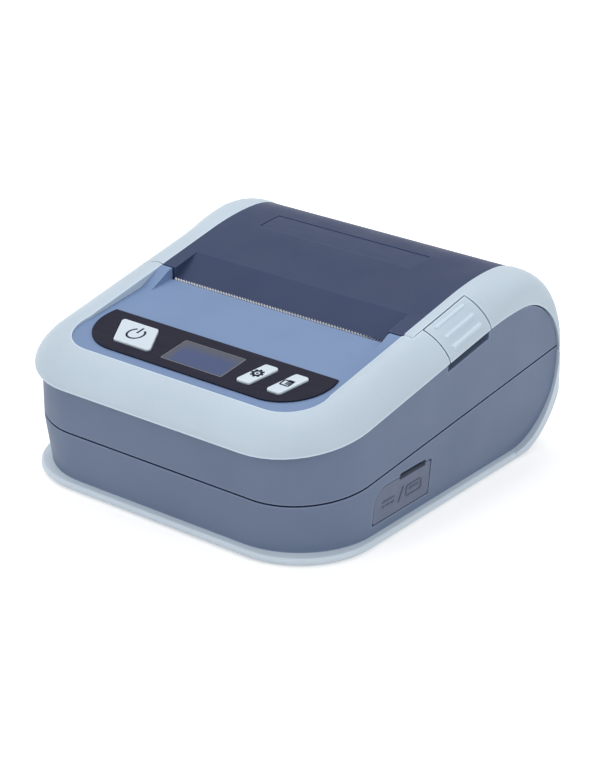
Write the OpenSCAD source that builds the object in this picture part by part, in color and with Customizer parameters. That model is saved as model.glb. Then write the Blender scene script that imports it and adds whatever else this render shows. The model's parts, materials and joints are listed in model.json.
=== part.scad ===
// Portable 80 mm thermal printer with a hinged top cover.
// Millimetres, +Z up, +Y to the rear. The origin is the middle of the footprint on the table.

/* [Overall] */
// Width over the base trim
width = 118; // [112:1:126]
// Depth from the bezel's nose to the rear of the cover
depth = 125; // [121:1:132]
// Height of the cover's crown above the table
height = 58.7; // [57:0.1:61]

/* [Housing] */
// Wall of the moulded shells
wall = 2.2; // [1.8:0.1:2.6]
// Height of the rubber feet below the tray
foot_h = 0.5; // [0.4:0.1:1]
// Radius of a rubber foot
foot_r = 4.5; // [3.5:0.5:6]
// Thickness of the tray's lip that stands proud of the housing
lip_t = 2.5; // [2.2:0.1:3.4]
// Setback of the housing's side from the lip's edge
house_inset = 0.95; // [0.6:0.05:1.3]
// Setback of the housing's front from the bezel's nose
house_front = 3.4; // [2.8:0.1:4.2]
// Plan radius of the housing's front corners
house_corner = 23.5; // [20:0.5:26]
// Setback of the lip's front from the bezel's nose
lip_front = 1.1; // [0.8:0.05:2]
// Plan radius of the lip's front corners
lip_corner = 25; // [22:0.5:28]
// Inward draft of the lower housing's sides at its foot
draft = 1.25; // [0.8:0.05:2]
// Inward draft of the lower housing's front at its foot
draft_front = 0.2; // [0.1:0.1:1]
// Added plan radius of the housing's corners at its foot
foot_round = 2; // [0:0.5:3]
// Height where the draft ends
draft_top = 17; // [14:0.5:20]
// Height of the parting line at the front
part_z = 17.5; // [16:0.5:20]
// Rise of the parting line per millimetre of depth
part_slope = 0.11; // [0.09:0.005:0.12]
// Width of the seam along the parting line
seam = 0.5; // [0.3:0.1:0.8]

/* [Bezel and rails] */
// Setback of the bezel's side from the lip's edge
bezel_inset = 0.3; // [0.1:0.1:0.6]
// Plan radius of the bezel's front corners
bezel_corner = 25.2; // [23:0.2:27]
// Width of a rail, from its outer edge to the cover
rail_w = 13.3; // [12:0.1:14]
// Rise of a rail from its lower edge to its crown
rail_rise = 9; // [8.4:0.1:9.6]
// Depth of the bezel's front, from the nose to the deck
nose_w = 10.5; // [9.5:0.1:11.5]
// Loss of that rise towards the front
front_drop = 1.6; // [0:0.1:2]
// Rise of the bezel's front
nose_rise = 7.9; // [7.4:0.1:8.4]
// Fall of the rail's lower edge, from its top to the nose
edge_fall = 16.9; // [15:0.1:18]
// Where the rails stop climbing in a straight line
straight_end = 20; // [10:1:26]
// Fall of the rail from its crown to the cover
crown_drop = 0.3; // [0.2:0.1:1]
// Fullness of the rail's outer curve along the side
rail_full = 1.55; // [1.3:0.05:2]
// Squareness of the rear curve of the rails and the cover
rear_square = 2.6; // [2:0.05:2.8]
// Fullness of the rail's outer curve round the rear
rear_full = 2.6; // [1.6:0.1:3]
// Thickness of the rear rim outside the side panels
rim = 3.3; // [3:0.1:4]

/* [Cover] */
// Front edge of the cover and its rails
cover_front = -4.0; // [-6:0.5:-3]
// Centre of the rear curve above the table
curve_z = 28; // [27:0.5:30]
// Height of the split between the rails and the base
split_z = 30; // [29.5:0.5:32]
// Top of the paper exit trough
crease_y = 6.2; // [5:0.2:8]
// Thickness of the cover's cheeks at the trough's ends
cheek_t = 5; // [4.4:0.1:6]
// Drop of the trough's lip below the crown
lip_drop = 10.6; // [9.8:0.1:11]
// Radius of the hinge pin
pin_r = 0.75; // [0.6:0.05:0.9]
// Radius of a hinge knuckle
knuckle_r = 1.5; // [1.4:0.1:1.7]

/* [Deck] */
// Slope of the deck
deck_slope = 0.13; // [0.11:0.005:0.15]
// Distance from the nose to the overlay's straight edge
deck_set = 33.5; // [31.5:0.5:35.5]
// Drop of the deck below the crown there
deck_drop = 13.5; // [12.8:0.1:14.2]
// Thickness of the deck plate
deck_t = 2.0; // [1.6:0.1:2.4]
// Thickness of the key overlay
overlay_t = 0.5; // [0.3:0.1:0.8]
// Margin from the lip's edge to the key overlay
overlay_side = 16.4; // [15.5:0.1:17.5]
// Depth of the key overlay
overlay_d = 19.2; // [18:0.1:20]
// Length of the display window
lcd_l = 22.9; // [20:0.1:24]
// Depth of the display window
lcd_d = 11.8; // [10:0.1:13]
// Depth of a key
key_d = 11.1; // [10:0.1:12]
// Length of the power key
power_l = 14; // [12:0.1:15]
// Length of each small key
small_l = 5.1; // [4.4:0.1:6]
// Travel of a key
key_travel = 0.5; // [0.3:0.1:0.6]
// Number of teeth along the tear bar
tear_teeth = 50; // [30:1:60]

/* [Release key and port cover] */
// Front end of the release key
release_y = 1.4; // [0:0.2:3]
// Length of the release key
release_l = 19.8; // [17:0.2:21]
// Width of the release key across the rail
release_w = 9.6; // [8.5:0.1:10]
// Travel of the release key
release_travel = 1.6; // [1:0.1:2]
// Room in the finger slot below the pressed release key
slot_room = 1.1; // [0.6:0.1:1.6]
// Front end of the port cover
flap_y = -33; // [-36:0.5:-30]
// Length of the port cover
flap_l = 26.6; // [24:0.2:29]
// Lower edge of the port cover above the table
flap_z = 6.3; // [5.6:0.1:7]
// Height of the port cover
flap_h = 11; // [10:0.1:12]
// Gap round the release key
key_gap = 0.5; // [0.3:0.1:0.8]
// Radius of the release key's finger ribs
rib_r = 0.55; // [0.3:0.05:0.7]
// Distance from a rib's end to the key's end
rib_end = 2.9; // [2:0.1:5]

/* [Printing mechanism] */
// Radius of the platen roller
platen_r = 5; // [4.6:0.1:5.2]
// Place of the platen along Y
platen_y = 1.6; // [1.2:0.1:2]
// Drop of the platen's axis below the crown
platen_drop = 17.2; // [16.8:0.1:17.6]
// Radius of the platen's shaft
shaft_r = 2.5; // [2:0.1:2.6]
// Outer radius of the platen's bushings
bush_r = 4; // [3.7:0.1:4.2]
// Module of the gear train
gear_m = 0.75; // [0.7:0.01:0.76]
// Teeth of the platen gear
platen_teeth = 14; // [12:1:15]
// Teeth of the idler gear
idler_teeth = 22; // [20:1:23]
// Teeth of the motor pinion
motor_teeth = 12; // [10:1:13]
// Face width of the gears
gear_w = 3; // [2:0.2:3.4]
// Radius of the motor's can
motor_r = 8.5; // [7:0.5:8.5]
// Length of the motor's can
motor_l = 18; // [14:1:22]

/* [Paper bin] */
// Radius of the bin's trough
bin_r = 24; // [23:0.5:25]
// Room beside the paper in the bin
bin_room = 1.2; // [0.8:0.1:1.6]
// Wall of the bin
bin_wall = 1.4; // [1:0.1:1.6]
// Radius of a roll guide's disc
guide_r = 17; // [14:0.5:18]
// Thickness of a roll guide's disc
guide_t = 1.8; // [1.4:0.1:2.2]
// Travel of each roll guide
guide_travel = 14; // [10:1:15]
// Teeth of the guide pinion
guide_teeth = 12; // [10:2:12]
// Module of the guide pinion
guide_m = 0.8; // [0.7:0.05:0.8]

/* [Power] */
// Gap between the battery pack and the port board
batt_room = 4.6; // [3.4:0.1:8]
// Depth of the battery pack
batt_d = 38; // [34:1:40]
// Thickness of the battery pack
batt_t = 12.4; // [11:0.1:13]

/* [Hidden] */
$fn = 48;
gap = 0.3;
half = width / 2;
front_y = -depth / 2;
rear_y = depth / 2;
edge_top = height - rail_rise;
panel_r = edge_top - curve_z;
curve_y = rear_y - panel_r - rim;
edge_z0 = edge_top - edge_fall;
edge_slope = edge_fall / (straight_end - front_y + (curve_y - straight_end) / 2);
bezel_half = half - bezel_inset;
house_half = half - house_inset;
house_y = front_y + house_front;
cover_half = bezel_half - rail_w;
tray_top = foot_h + lip_t;
lip_round = lip_t / 2;
rise_slope = front_drop / (curve_y - front_y);
lip_in = 8;
bezel_lift = 0.3;
rail_lift = 0.35;
split_gap = 0.25;
crown_w = rail_w - 1.6;
trough_half = cover_half - cheek_t;
lip_z = height - lip_drop;
deck_y = front_y + deck_set;
deck_z = height - deck_drop;
overlay_half = half - overlay_side;
tear_w = 2 * (trough_half - gap);
platen_l = 2 * (trough_half + 0.1);
platen_z = height - platen_drop;
bin_half = trough_half + bin_room;
hinge_y = rear_y - knuckle_r;
hinge_z = split_z + 0.1;
deck_tilt = atan(deck_slope);
tear_y = cover_front - 1.2;
panel_low = curve_z - tray_top;
key_front = deck_y - overlay_d + 4.4;
lcd_y = key_front - 0.8;
power_x = -30.3;
gear_x = 16.5;
feed_x = 27.45;
plate_x = cover_half + 0.6;
plate_t = 1.6;
gear_x0 = plate_x + plate_t + 0.7;
p_r = gear_m * platen_teeth / 2;
i_r = gear_m * idler_teeth / 2;
m_r = gear_m * motor_teeth / 2;
down_a = 180 + atan2(hinge_y - platen_y, platen_z - hinge_z);
idler_y = platen_y + (p_r + i_r) * cos(down_a);
idler_z = platen_z + (p_r + i_r) * sin(down_a);
motor_a = 195;
motor_y = idler_y + (i_r + m_r) * cos(motor_a);
motor_z = idler_z + (i_r + m_r) * sin(motor_a);
bin_y = curve_y - 4.9;
bin_z = tray_top + bin_wall + bin_r;
bin_top = platen_z - platen_r - 0.1;
bin_front = bin_y - bin_r - bin_wall;
rack_z = bin_top - 13;
rack_y = bin_front - 3.4;
g_r = guide_m * guide_teeth / 2;
guide_x0 = bin_half - 1;
port_x = half - 9;
port_w = 11.4;
batt_l = 2 * (port_x - port_w - batt_room);
batt_y = front_y + 30.5;
batt_z = foot_h + 2.3;
board_z = 7.2;
screw_pts = [[13 - half, front_y + 20.5], [half - 13, front_y + 20.5], [9 - half, 12], [half - 9, 12]];
plate_y = front_y + 23.5;
stand_x = plate_x + 4.6;
stand_ys = [plate_y + 3, 7];
post_x = half - 20.5;
post_ys = [front_y + 12.5, front_y + 26];
knuckle_l = 10;
knuckle_x = cover_half - 9.4;
pin_l = 24.8;
pin_x = knuckle_x - 7.4;
main_z = 19.8;
stand_z = 16.4;
stand_t = 1.4;
low_arc = [for (i = [0:24]) let (a = -90 + 4 * i) [curve_y + panel_r * cos(a), curve_z + panel_low * sin(a)]];
head_y = platen_y - platen_r - gap;
head_top = platen_z + 2.3;
head_low = platen_z - 4.3;
slot_h = release_travel + slot_room;

// ---- curves shared by every outer piece ----

// Height of the rails' lower edge, which is also the side panels' top edge.
function edge_z(y) =
  y < straight_end ? edge_z0 + edge_slope * (y - front_y)
  : edge_top - edge_slope * pow(max(curve_y - y, 0), 2) / (2 * (curve_y - straight_end));

// Points of the rear curve, from angle a0 to a1, as an ellipse with half axes ry and rz.
function rear_arc(ry, rz, a0, a1, n = 24) =
  [for (i = [0:n]) let (a = a0 + (a1 - a0) * i / n) [curve_y + ry * cos(a), curve_z + rz * sin(a)]];

// Rise of the rails over their lower edge at depth y.
function rise_at(y) =
  rail_rise - front_drop * max(0, (curve_y - y) / (curve_y - front_y));

// Point of the squared rear curve with half axes ry and rz at angle a, and the angle of height z.
function rear_pt(ry, rz, a) =
  [curve_y + ry * pow(cos(a), 2 / rear_square), curve_z + rz * pow(sin(a), 2 / rear_square)];
function rear_from(rz, z) = asin(pow((z - curve_z) / rz, rear_square / 2));

// Outer curve of a rail's section as [across, up], both from 0 to 1.
function rail_curve(n = 9, a1 = 90, full = rail_full) =
  [for (i = [0:n]) let (a = a1 * i / n) [1 - pow(cos(a), 2 / full), pow(sin(a), 2 / full)]];

// Fullness of the rail at depth y.
function full_at(y) =
  rail_full + (rear_full - rail_full) * max(0, min(1, (y - straight_end) / (curve_y - straight_end)));

// Draws a YZ outline from x0 to x1.
module yz(x0, x1)
  translate([x0, 0, 0]) rotate([90, 0, 90]) linear_extrude(x1 - x0) children();

// Draws an XZ outline from y0 to y1.
module xz(y0, y1)
  translate([0, y1, 0]) rotate([90, 0, 0]) linear_extrude(y1 - y0) children();

// Plan of a shell: straight sides, two round front corners, square rear.
module plan(h, y0, r, y1) {
  translate([-h, y0 + r]) square([2 * h, y1 - y0 - r]);
  translate([-h + r, y0]) square([2 * (h - r), r + 1]);
  for (s = [-1, 1]) translate([s * (h - r), y0 + r]) circle(r, $fn = 96);
}

// Skins a row of closed sections. Each is an outer chain and then the inner chain backwards.
module loft(rings) {
  n = len(rings[0]);
  m = len(rings);
  k = n / 2;
  polyhedron(
    points = [for (r = rings) each r],
    faces = concat(
      [for (i = [0:k - 2]) each [[i, i + 1, n - 2 - i], [i, n - 2 - i, n - 1 - i]]],
      [for (i = [0:k - 2]) let (b = (m - 1) * n)
        each [[b + i, b + n - 2 - i, b + i + 1], [b + i, b + n - 1 - i, b + n - 2 - i]]],
      [for (j = [0:m - 2], i = [0:n - 1]) let (a = j * n, b = a + n, q = (i + 1) % n)
        each [[a + i, b + i, b + q], [a + i, b + q, a + q]]]
    )
  );
}

// Section of a rail as [in from the outer edge, share of the rise].
function rail_section(w, wc, rise, drop, a1, low, full = rail_full) =
  let (
    t = min(wall, 0.45 * rise),
    o = [for (p = rail_curve(9, a1, full)) [wc * p[0], p[1]]],
    i = [for (p = rail_curve(9, a1, full)) [wall + (wc - wall) * p[0], p[1] * (1 - t / rise)]],
    tail_o = a1 < 90 ? [] : [[w, 1 - drop / rise], [w, low]],
    tail_i = a1 < 90 ? [] : [[w - wall * 0.7, 1 - (drop + t) / rise], [w - wall * 0.7, low]],
    oo = concat(o, tail_o),
    ii = concat(i, tail_i)
  )
  concat(oo, [for (k = [len(ii) - 1:-1:0]) ii[k]]);

// A section's points in space on the straight run at depth y, over the lower edge raised by lift.
function run_points(sec, y, lift) =
  [for (p = sec) [bezel_half - p[0], y, edge_z(y) + lift + (rise_at(y) - lift) * p[1]]];

// A rail's ring on the straight run at depth y.
function run_ring(y) =
  run_points(rail_section(rail_w, crown_w, rail_rise, crown_drop, 90, 0.42, full_at(y)), y, rail_lift);

// A rail's ring on the rear curve, from its top at t = 0 to the level split at t = 1.
function arc_ring(t) =
  let (
    re = panel_r + rail_lift,
    rc = panel_r + rail_rise,
    ae = 90 - (90 - asin((split_z + split_gap - curve_z) / re)) * t,
    e = [curve_y + re * cos(ae), curve_z + re * sin(ae)],
    c = rear_pt(panel_r + rim, rc, 90 - (90 - rear_from(rc, split_z + split_gap)) * t),
    rise = norm(c - e)
  )
  [for (p = rail_section(rail_w, crown_w, rise, crown_drop * rise / rail_rise, 90, 0.42, rear_full))
    [bezel_half - p[0], e[0] + (c[0] - e[0]) * p[1], e[1] + (c[1] - e[1]) * p[1]]];

// ---- outer shells ----

// Outline of the side panels below the parting line, seen from the side.
module panel_low_2d()
  polygon(concat(
    [[front_y - 5, tray_top], [curve_y, tray_top]],
    low_arc,
    [[curve_y, part_z + part_slope * (curve_y - house_y) + 4]],
    [[front_y - 5, part_z + part_slope * (front_y - 5 - house_y) + 4]]
  ));

module below_parting(up = 0)
  yz(-half - 5, half + 5) polygon([
    [front_y - 10, -5],
    [rear_y + 10, -5],
    [rear_y + 10, part_z + part_slope * (rear_y + 10 - house_y) + up],
    [front_y - 10, part_z + part_slope * (front_y - 10 - house_y) + up]
  ]);

// Ring round the front and sides, from section points [in, up].
function lip_ring(x, y, nx, ny, sec) =
  [for (p = sec) [x - nx * p[0], y - ny * p[0], foot_h + p[1]]];

function u_path(h, y0, r, y1, n = 12) = concat(
  [[h, y1, 1, 0]],
  [for (i = [0:n]) let (a = -90 * i / n) [h - r + r * cos(a), y0 + r + r * sin(a), cos(a), sin(a)]],
  [for (i = [0:n]) let (a = -90 - 90 * i / n) [-h + r + r * cos(a), y0 + r + r * sin(a), cos(a), sin(a)]],
  [[-h, y1, -1, 0]]
);

// Section of the lip: a half-round bead with a ledge behind it.
lip_sec = concat(
  [for (i = [0:5]) let (a = -90 + 36 * i) [lip_round * (1 - cos(a)), lip_round * (1 + sin(a))]],
  [for (i = [5:-1:0]) [lip_in, lip_round * (1 + sin(-90 + 36 * i))]]
);

// Plan of the rear band and of what stands on it, set in from the band by s at the sides.
module rear_plan_2d(s) {
  edge = [for (p = rail_curve(9, 90, rear_full)) [half - s - (crown_w + bezel_inset - s) * p[0], p[1]]];
  polygon(concat(
    [for (p = edge) [p[0], rear_y - rim + rim * p[1]]],
    [for (k = [9:-1:0]) [-edge[k][0], rear_y - rim + rim * edge[k][1]]],
    [[s - half, curve_y - 2], [half - s, curve_y - 2]]
  ));
}

module base_tray() {
  color("lightsteelblue") difference() {
    union() {
      loft([for (p = u_path(half, front_y + lip_front, lip_corner, curve_y + 2))
        lip_ring(p[0], p[1], p[2], p[3], lip_sec)]);
      translate([0, 0, foot_h]) linear_extrude(wall - 0.2)
        plan(half - 3, front_y + lip_front + 3, lip_corner - 3, curve_y + 2);
      // rear band: floor, heel and rear wall up to the split
      intersection() {
        yz(-half, half) difference() {
          polygon(concat([[curve_y, foot_h]], rear_arc(panel_r + rim, curve_z - foot_h, -90, 4),
            [[curve_y, curve_z + 2]]));
          polygon(concat([[curve_y - 1, tray_top]], low_arc, [[curve_y - 1, curve_z + 3]]));
        }
        translate([0, 0, -1]) linear_extrude(split_z + 0.9) rear_plan_2d(0);
        xz(curve_y - 3, rear_y + 1) union() {
          translate([-half, foot_h + lip_round]) square([width, split_z]);
          translate([-half + lip_round, foot_h]) square([width - 2 * lip_round, 4]);
          for (s = [-1, 1]) translate([s * (half - lip_round), foot_h + lip_round]) circle(lip_round);
        }
      }
      // screw bosses and mechanism posts
      for (p = screw_pts) translate([p[0], p[1], foot_h]) cylinder(r = 3.2, h = board_z - foot_h + 4);
      for (s = [-1, 1], y = stand_ys)
        translate([s * stand_x, y, foot_h]) cylinder(r = 2.2, h = stand_z - foot_h);
      for (y = [7, 21]) translate([port_x - 6, flap_y + y, foot_h]) cylinder(r = 2, h = board_z - foot_h);
      for (s = [-1, 1], y = post_ys) translate([s * post_x, y, foot_h]) cylinder(r = 2.2, h = main_z - foot_h);
      // battery bay ribs
      for (s = [-1, 1]) translate([s * (batt_l / 2 + 1.2) - 0.7, batt_y - batt_d / 2, foot_h + 0.5])
        cube([1.4, batt_d, 8]);
      // hinge knuckles
      for (s = [-1, 1]) knuckle_web(s * knuckle_x, knuckle_l);
    }
    for (s = [-1, 1]) translate([s * knuckle_x - relief_half() - gap, 0, 0])
      hinge_bore(2 * (relief_half() + gap));
    // relief for the turning edge of the cover, between and beside the knuckles
    hinge_scoop(-half - 1, -knuckle_x - relief_half());
    hinge_scoop(-knuckle_x + relief_half(), knuckle_x - relief_half());
    hinge_scoop(knuckle_x + relief_half(), half + 1);
    // screw holes and foot seats
    for (p = screw_pts) translate([p[0], p[1], 0]) {
      cylinder(r = 1.35, h = 14);
      cylinder(r = 2.9, h = foot_h + 1.6);
    }
    for (p = foot_pts()) translate([p[0], p[1], 0]) cylinder(r = foot_r + 0.1, h = foot_h + 0.8);
    // battery opening with the seat for the door's hinge bead
    translate([-door_half(), batt_y - batt_d / 2 - 1, -1]) cube([2 * door_half(), batt_d + 1, 8]);
    translate([-door_half(), door_hinge_y(), door_hinge_z()]) rotate([0, 90, 0])
      cylinder(r = 1.1 + gap, h = 2 * door_half());
    translate([-door_half(), door_hinge_y(), -1]) cube([2 * door_half(), 1.1 + gap, door_hinge_z() + 1]);
  }
}

function foot_pts() = [for (x = [15 - half, half - 15], y = [front_y + 12.5, rear_y - 22.5]) [x, y]];
function door_half() = batt_l / 2 - 1.5;
function door_hinge_y() = batt_y + batt_d / 2 - 0.2;
function door_hinge_z() = foot_h + 1.1;

// Half length of the relief round a base knuckle.
function relief_half() = knuckle_l / 2 + 0.4;

module hinge_scoop(x0, x1)
  translate([x0, hinge_y, hinge_z]) rotate([0, 90, 0]) cylinder(r = knuckle_r + rail_lift + 0.1, h = x1 - x0);

module hinge_bore(l)
  translate([0, hinge_y, hinge_z]) rotate([0, 90, 0]) cylinder(r = pin_r + 0.05, h = l);

module hinge_barrel(x0, x1)
  translate([x0, hinge_y, hinge_z]) rotate([0, 90, 0]) cylinder(r = knuckle_r, h = x1 - x0);

// A base knuckle of length l centred at x, with a web down to the rear wall.
module knuckle_web(x, l) {
  hinge_barrel(x - l / 2, x + l / 2);
  translate([x - l / 2, hinge_y - 1.1, hinge_z - 3.2]) cube([l, 2.2, 3.2]);
}

module lower_solid(inset, grow = 0) {
  hull() {
    translate([0, 0, tray_top - grow]) linear_extrude(0.05)
      plan(house_half - draft - inset, house_y + draft_front + inset,
        house_corner + foot_round - inset, rear_y);
    translate([0, 0, draft_top]) linear_extrude(0.05)
      plan(house_half - inset, house_y + inset, house_corner - inset, rear_y);
  }
  translate([0, 0, draft_top]) linear_extrude(split_z - draft_top + 4)
    plan(house_half - inset, house_y + inset, house_corner - inset, rear_y);
}

module lower_housing() {
  color("slategray") difference() {
    intersection() {
      lower_solid(0);
      yz(-half, half) panel_low_2d();
      below_parting(0);
    }
    lower_solid(wall, 1);
    port_hole(0);
    // finger notch over the port cover
    translate([house_half - 3.4, flap_y + 11.6, flap_z + flap_h - 0.4]) cube([6, 12.4, 1.5]);
  }
}

// The port cover's outline seen from the side, grown by g.
module flap_2d(g = 0) {
  r1 = 5;
  r2 = g > 0 ? 0.3 : 1.2;
  l = flap_l + 2 * g;
  h = flap_h + 2 * g;
  translate([flap_y - g, flap_z - g]) polygon(concat(
    [for (i = [0:6]) let (a = 180 - 15 * i) [(r1 + g) * (1 + cos(a)), h - (r1 + g) * (1 - sin(a))]],
    [for (i = [0:6]) let (a = 90 - 15 * i) [l - r2 * (1 - cos(a)), h - r2 * (1 - sin(a))]],
    [for (i = [0:6]) let (a = -15 * i) [l - r2 * (1 - cos(a)), r2 * (1 + sin(a))]],
    [for (i = [0:6]) let (a = -90 - 15 * i) [r2 * (1 + cos(a)), r2 * (1 + sin(a))]]
  ));
}

module port_hole(g) {
  yz(house_half - 8, half + 2) flap_2d(gap + g);
}

module upper_housing() {
  color("slategray") difference() {
    intersection() {
      translate([0, 0, part_z]) linear_extrude(height - part_z) difference() {
        plan(house_half, house_y, house_corner, rear_y);
        plan(house_half - wall, house_y + wall, house_corner - wall, rear_y + 1);
      }
      yz(-half, half) polygon(concat(
        [[front_y - 6, 0], [curve_y, 0], [curve_y + panel_r, curve_z]],
        rear_arc(panel_r, panel_r, 2, 90),
        [for (i = [15:-1:0]) let (y = straight_end + (curve_y - straight_end) * i / 16) [y, edge_z(y)]],
        [[front_y - 6, edge_z(front_y - 6)]]
      ));
    }
    below_parting(seam);
    // finger slot under the release key
    yz(0, half) polygon([
      [release_y - gap, edge_z(release_y) - slot_h],
      [release_y + release_l + gap, edge_z(release_y + release_l) - slot_h],
      [release_y + release_l + gap, edge_z(release_y + release_l) + 5],
      [release_y - gap, edge_z(release_y) + 5]
    ]);
  }
}

// Width of the bezel where its path's normal has the share f along Y.
function bezel_w(f) = rail_w + (nose_w - rail_w) * f;

// Ring of the bezel at a point of its plan path.
function bezel_ring(x, y, nx, ny) =
  let (
    f = abs(ny),
    w = bezel_w(f),
    rise = rise_at(y) + (nose_rise - rise_at(y)) * f,
    drop = crown_drop * (1 - f),
    wc = w - 1.6 * (1 - f) - 0.3 * f,
    sec = rail_section(w, wc, rise, drop, 90, 0.22)
  )
  [for (p = sec) [x - nx * p[0], y - ny * p[0],
    edge_z(y - ny * p[0]) + bezel_lift + (rise - bezel_lift) * p[1]]];

module top_bezel() {
  color("lightsteelblue") difference() {
    loft([for (p = u_path(bezel_half, front_y, bezel_corner, release_y - key_gap))
      bezel_ring(p[0], p[1], p[2], p[3])]);
    // the left rail stops at the cover
    translate([-half - 1, cover_front - gap, 0]) cube([half, 20, height + 5]);
    // pocket for the cover's sliver beside the release key
    translate([0, cover_front - gap, 0]) cube([sliver_x1 + gap, 20, height + 5]);
  }
}

// ---- deck and controls ----

module on_deck()
  translate([0, deck_y, deck_z]) rotate([deck_tilt, 0, 0]) children();

// Distance along the deck for a place along Y.
function along(y) = (y - deck_y) / cos(deck_tilt);

// Outline of a leaning key with rounded corners, grown by g.
module key_2d(l, lean, g = 0) {
  k = 1;
  hull() for (c = [[k, k], [l - k, k], [l - k + lean, key_d - k], [k + lean, key_d - k]])
    translate(c) circle(k + g, $fn = 24);
}

module at_key(x) translate([x, along(key_front), 0]) children();

module front_deck() {
  y1 = along(tear_y - 0.3);
  color("cornflowerblue") union() {
    on_deck() difference() {
      translate([0, 0, -deck_t]) linear_extrude(deck_t)
        intersection() {
          polygon([for (p = u_path(bezel_half, front_y, bezel_corner, 10))
            let (w = bezel_w(abs(p[3])) + 0.05) [p[0] - p[2] * w, along(p[1] - p[3] * w)]]);
          translate([-half, along(front_y)]) square([width, y1 - along(front_y)]);
        }
      translate([0, 0, -deck_t - 1]) linear_extrude(deck_t + 2) {
        at_key(power_x) key_2d(power_l, -5, gap);
        at_key(gear_x) key_2d(small_l, 2.1, gap);
        at_key(feed_x) key_2d(small_l, 2.1, gap);
        translate([-11.1, along(lcd_y)]) square([lcd_l, lcd_d]);
      }
    }
    // posts that carry the key board
    on_deck() for (x = panel_posts) translate([x, along(lcd_y) + 16.2, board_n + 1.2])
      cylinder(r = 1.8, h = -board_n - 1.2 - deck_t + 0.5);
    // raised shoulders beside the paper exit
    for (s = [-1, 1]) translate([s > 0 ? trough_half + 0.9 : -cover_half + 0.05, 0, 0])
      yz(0, cover_half - trough_half - 0.95) polygon([
        [tear_y - 9, deck_z + deck_slope * (tear_y - 9 - deck_y) - 0.5],
        [tear_y + 0.8, deck_z + deck_slope * (tear_y + 0.8 - deck_y) - 0.5],
        [tear_y + 0.8, cover_z(tear_y)],
        [tear_y - 0.4, cover_z(tear_y) - 0.1],
        [tear_y - 9, deck_z + deck_slope * (tear_y - 9 - deck_y)]
      ]);
  }
}

module overlay_2d() {
  r = 14.7;
  y0 = along(deck_y - overlay_d);
  intersection() {
    union() {
      for (s = [-1, 1]) translate([s * (overlay_half - r), y0 + r]) circle(r, $fn = 96);
      translate([-overlay_half + r, y0]) square([2 * (overlay_half - r), 2 * r]);
    }
    translate([-half, y0 - 1]) square([width, 1 - y0]);
  }
}

module key_overlay() {
  color("#2b2a38") on_deck() linear_extrude(overlay_t) difference() {
    overlay_2d();
    at_key(power_x) key_2d(power_l, -5, gap);
    at_key(gear_x) key_2d(small_l, 2.1, gap);
    at_key(feed_x) key_2d(small_l, 2.1, gap);
    translate([-11.1, along(lcd_y)]) square([lcd_l, lcd_d]);
  }
}

module lcd_window() {
  color("#5c6a91") on_deck() translate([-11.1 + 0.1, along(lcd_y) + 0.1, -1.2])
    cube([lcd_l - 0.2, lcd_d - 0.2, 1.2 + overlay_t - 0.15]);
}

module lcd_module() {
  color("dimgray") on_deck() translate([-11.1 - 2, along(lcd_y) - 1.5, -deck_t - 2.6])
    cube([lcd_l + 4, lcd_d + 3, 2.6]);
}

// Key cap with a captive flange under the deck and a stem to its switch.
module key_body(x, l, lean) {
  on_deck() at_key(x) {
    translate([0, 0, -deck_t - gap - 0.1]) linear_extrude(deck_t + gap + 0.1 + overlay_t + 0.5)
      key_2d(l, lean);
    translate([0, 0, -deck_t - gap - 0.8]) linear_extrude(0.8) key_2d(l, lean, 0.9);
    translate([l / 2 + lean / 2, key_d / 2, -deck_t - 2.2]) cylinder(r = 1.4, h = 1.6);
  }
}

module power_key() color("whitesmoke") key_body(power_x, power_l, -5);
module settings_key() color("whitesmoke") key_body(gear_x, small_l, 2.1);
module feed_key() color("whitesmoke") key_body(feed_x, small_l, 2.1);

board_n = -7.2;
panel_posts = [-33, 0, 35];

module panel_board() {
  color("darkgreen") on_deck() difference() {
    translate([-36, along(lcd_y) - 2.5, board_n]) cube([74, 21, 1.2]);
    for (x = panel_posts) translate([x, along(lcd_y) + 16.2, board_n - 1]) cylinder(r = 1, h = 4);
  }
}

// Each switch stands on the board under its key's stem.
module key_switches() {
  color("silver") on_deck()
    for (k = [[power_x, power_l, -5], [gear_x, small_l, 2.1], [feed_x, small_l, 2.1]])
      at_key(k[0]) translate([k[1] / 2 + k[2] / 2, key_d / 2, 0]) {
        translate([-2.2, -2.2, board_n + 1.2]) cube([4.4, 4.4, 1.2]);
        translate([0, 0, board_n + 2.3])
          cylinder(r = 1, h = -board_n - deck_t - 2.2 - key_travel - 0.2 - 2.3);
      }
}

// ---- printing mechanism ----

module tear_bar() {
  t = 0.6;
  z1 = deck_z + deck_slope * (tear_y - deck_y) + 0.5;
  p = tear_w / tear_teeth;
  color("silver") translate([0, tear_y, 0]) rotate([90, 0, 0]) translate([0, 0, -t])
    linear_extrude(t) polygon(concat(
      [[-tear_w / 2, head_top + 0.1], [-tear_w / 2, z1 - 0.7]],
      [for (i = [0:tear_teeth - 1]) let (x = p * i - tear_w / 2) each [[x + p / 2, z1], [x + p, z1 - 0.7]]],
      [[tear_w / 2, head_top + 0.1]]
    ));
}

module head_heatsink() {
  color("gainsboro") difference() {
    translate([-trough_half - 0.6, head_y - 7.4, head_low])
      cube([2 * trough_half + 1.2, 6.4, head_top - head_low]);
    for (i = [-4:3]) translate([10 * i + 3.5, head_y - 8, head_low + 1.8]) cube([3, 3.6, 6]);
  }
}

module head_ceramic() {
  color("white") translate([-platen_l / 2, head_y - 1, head_low]) cube([platen_l, 1, head_top - head_low]);
}

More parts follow.
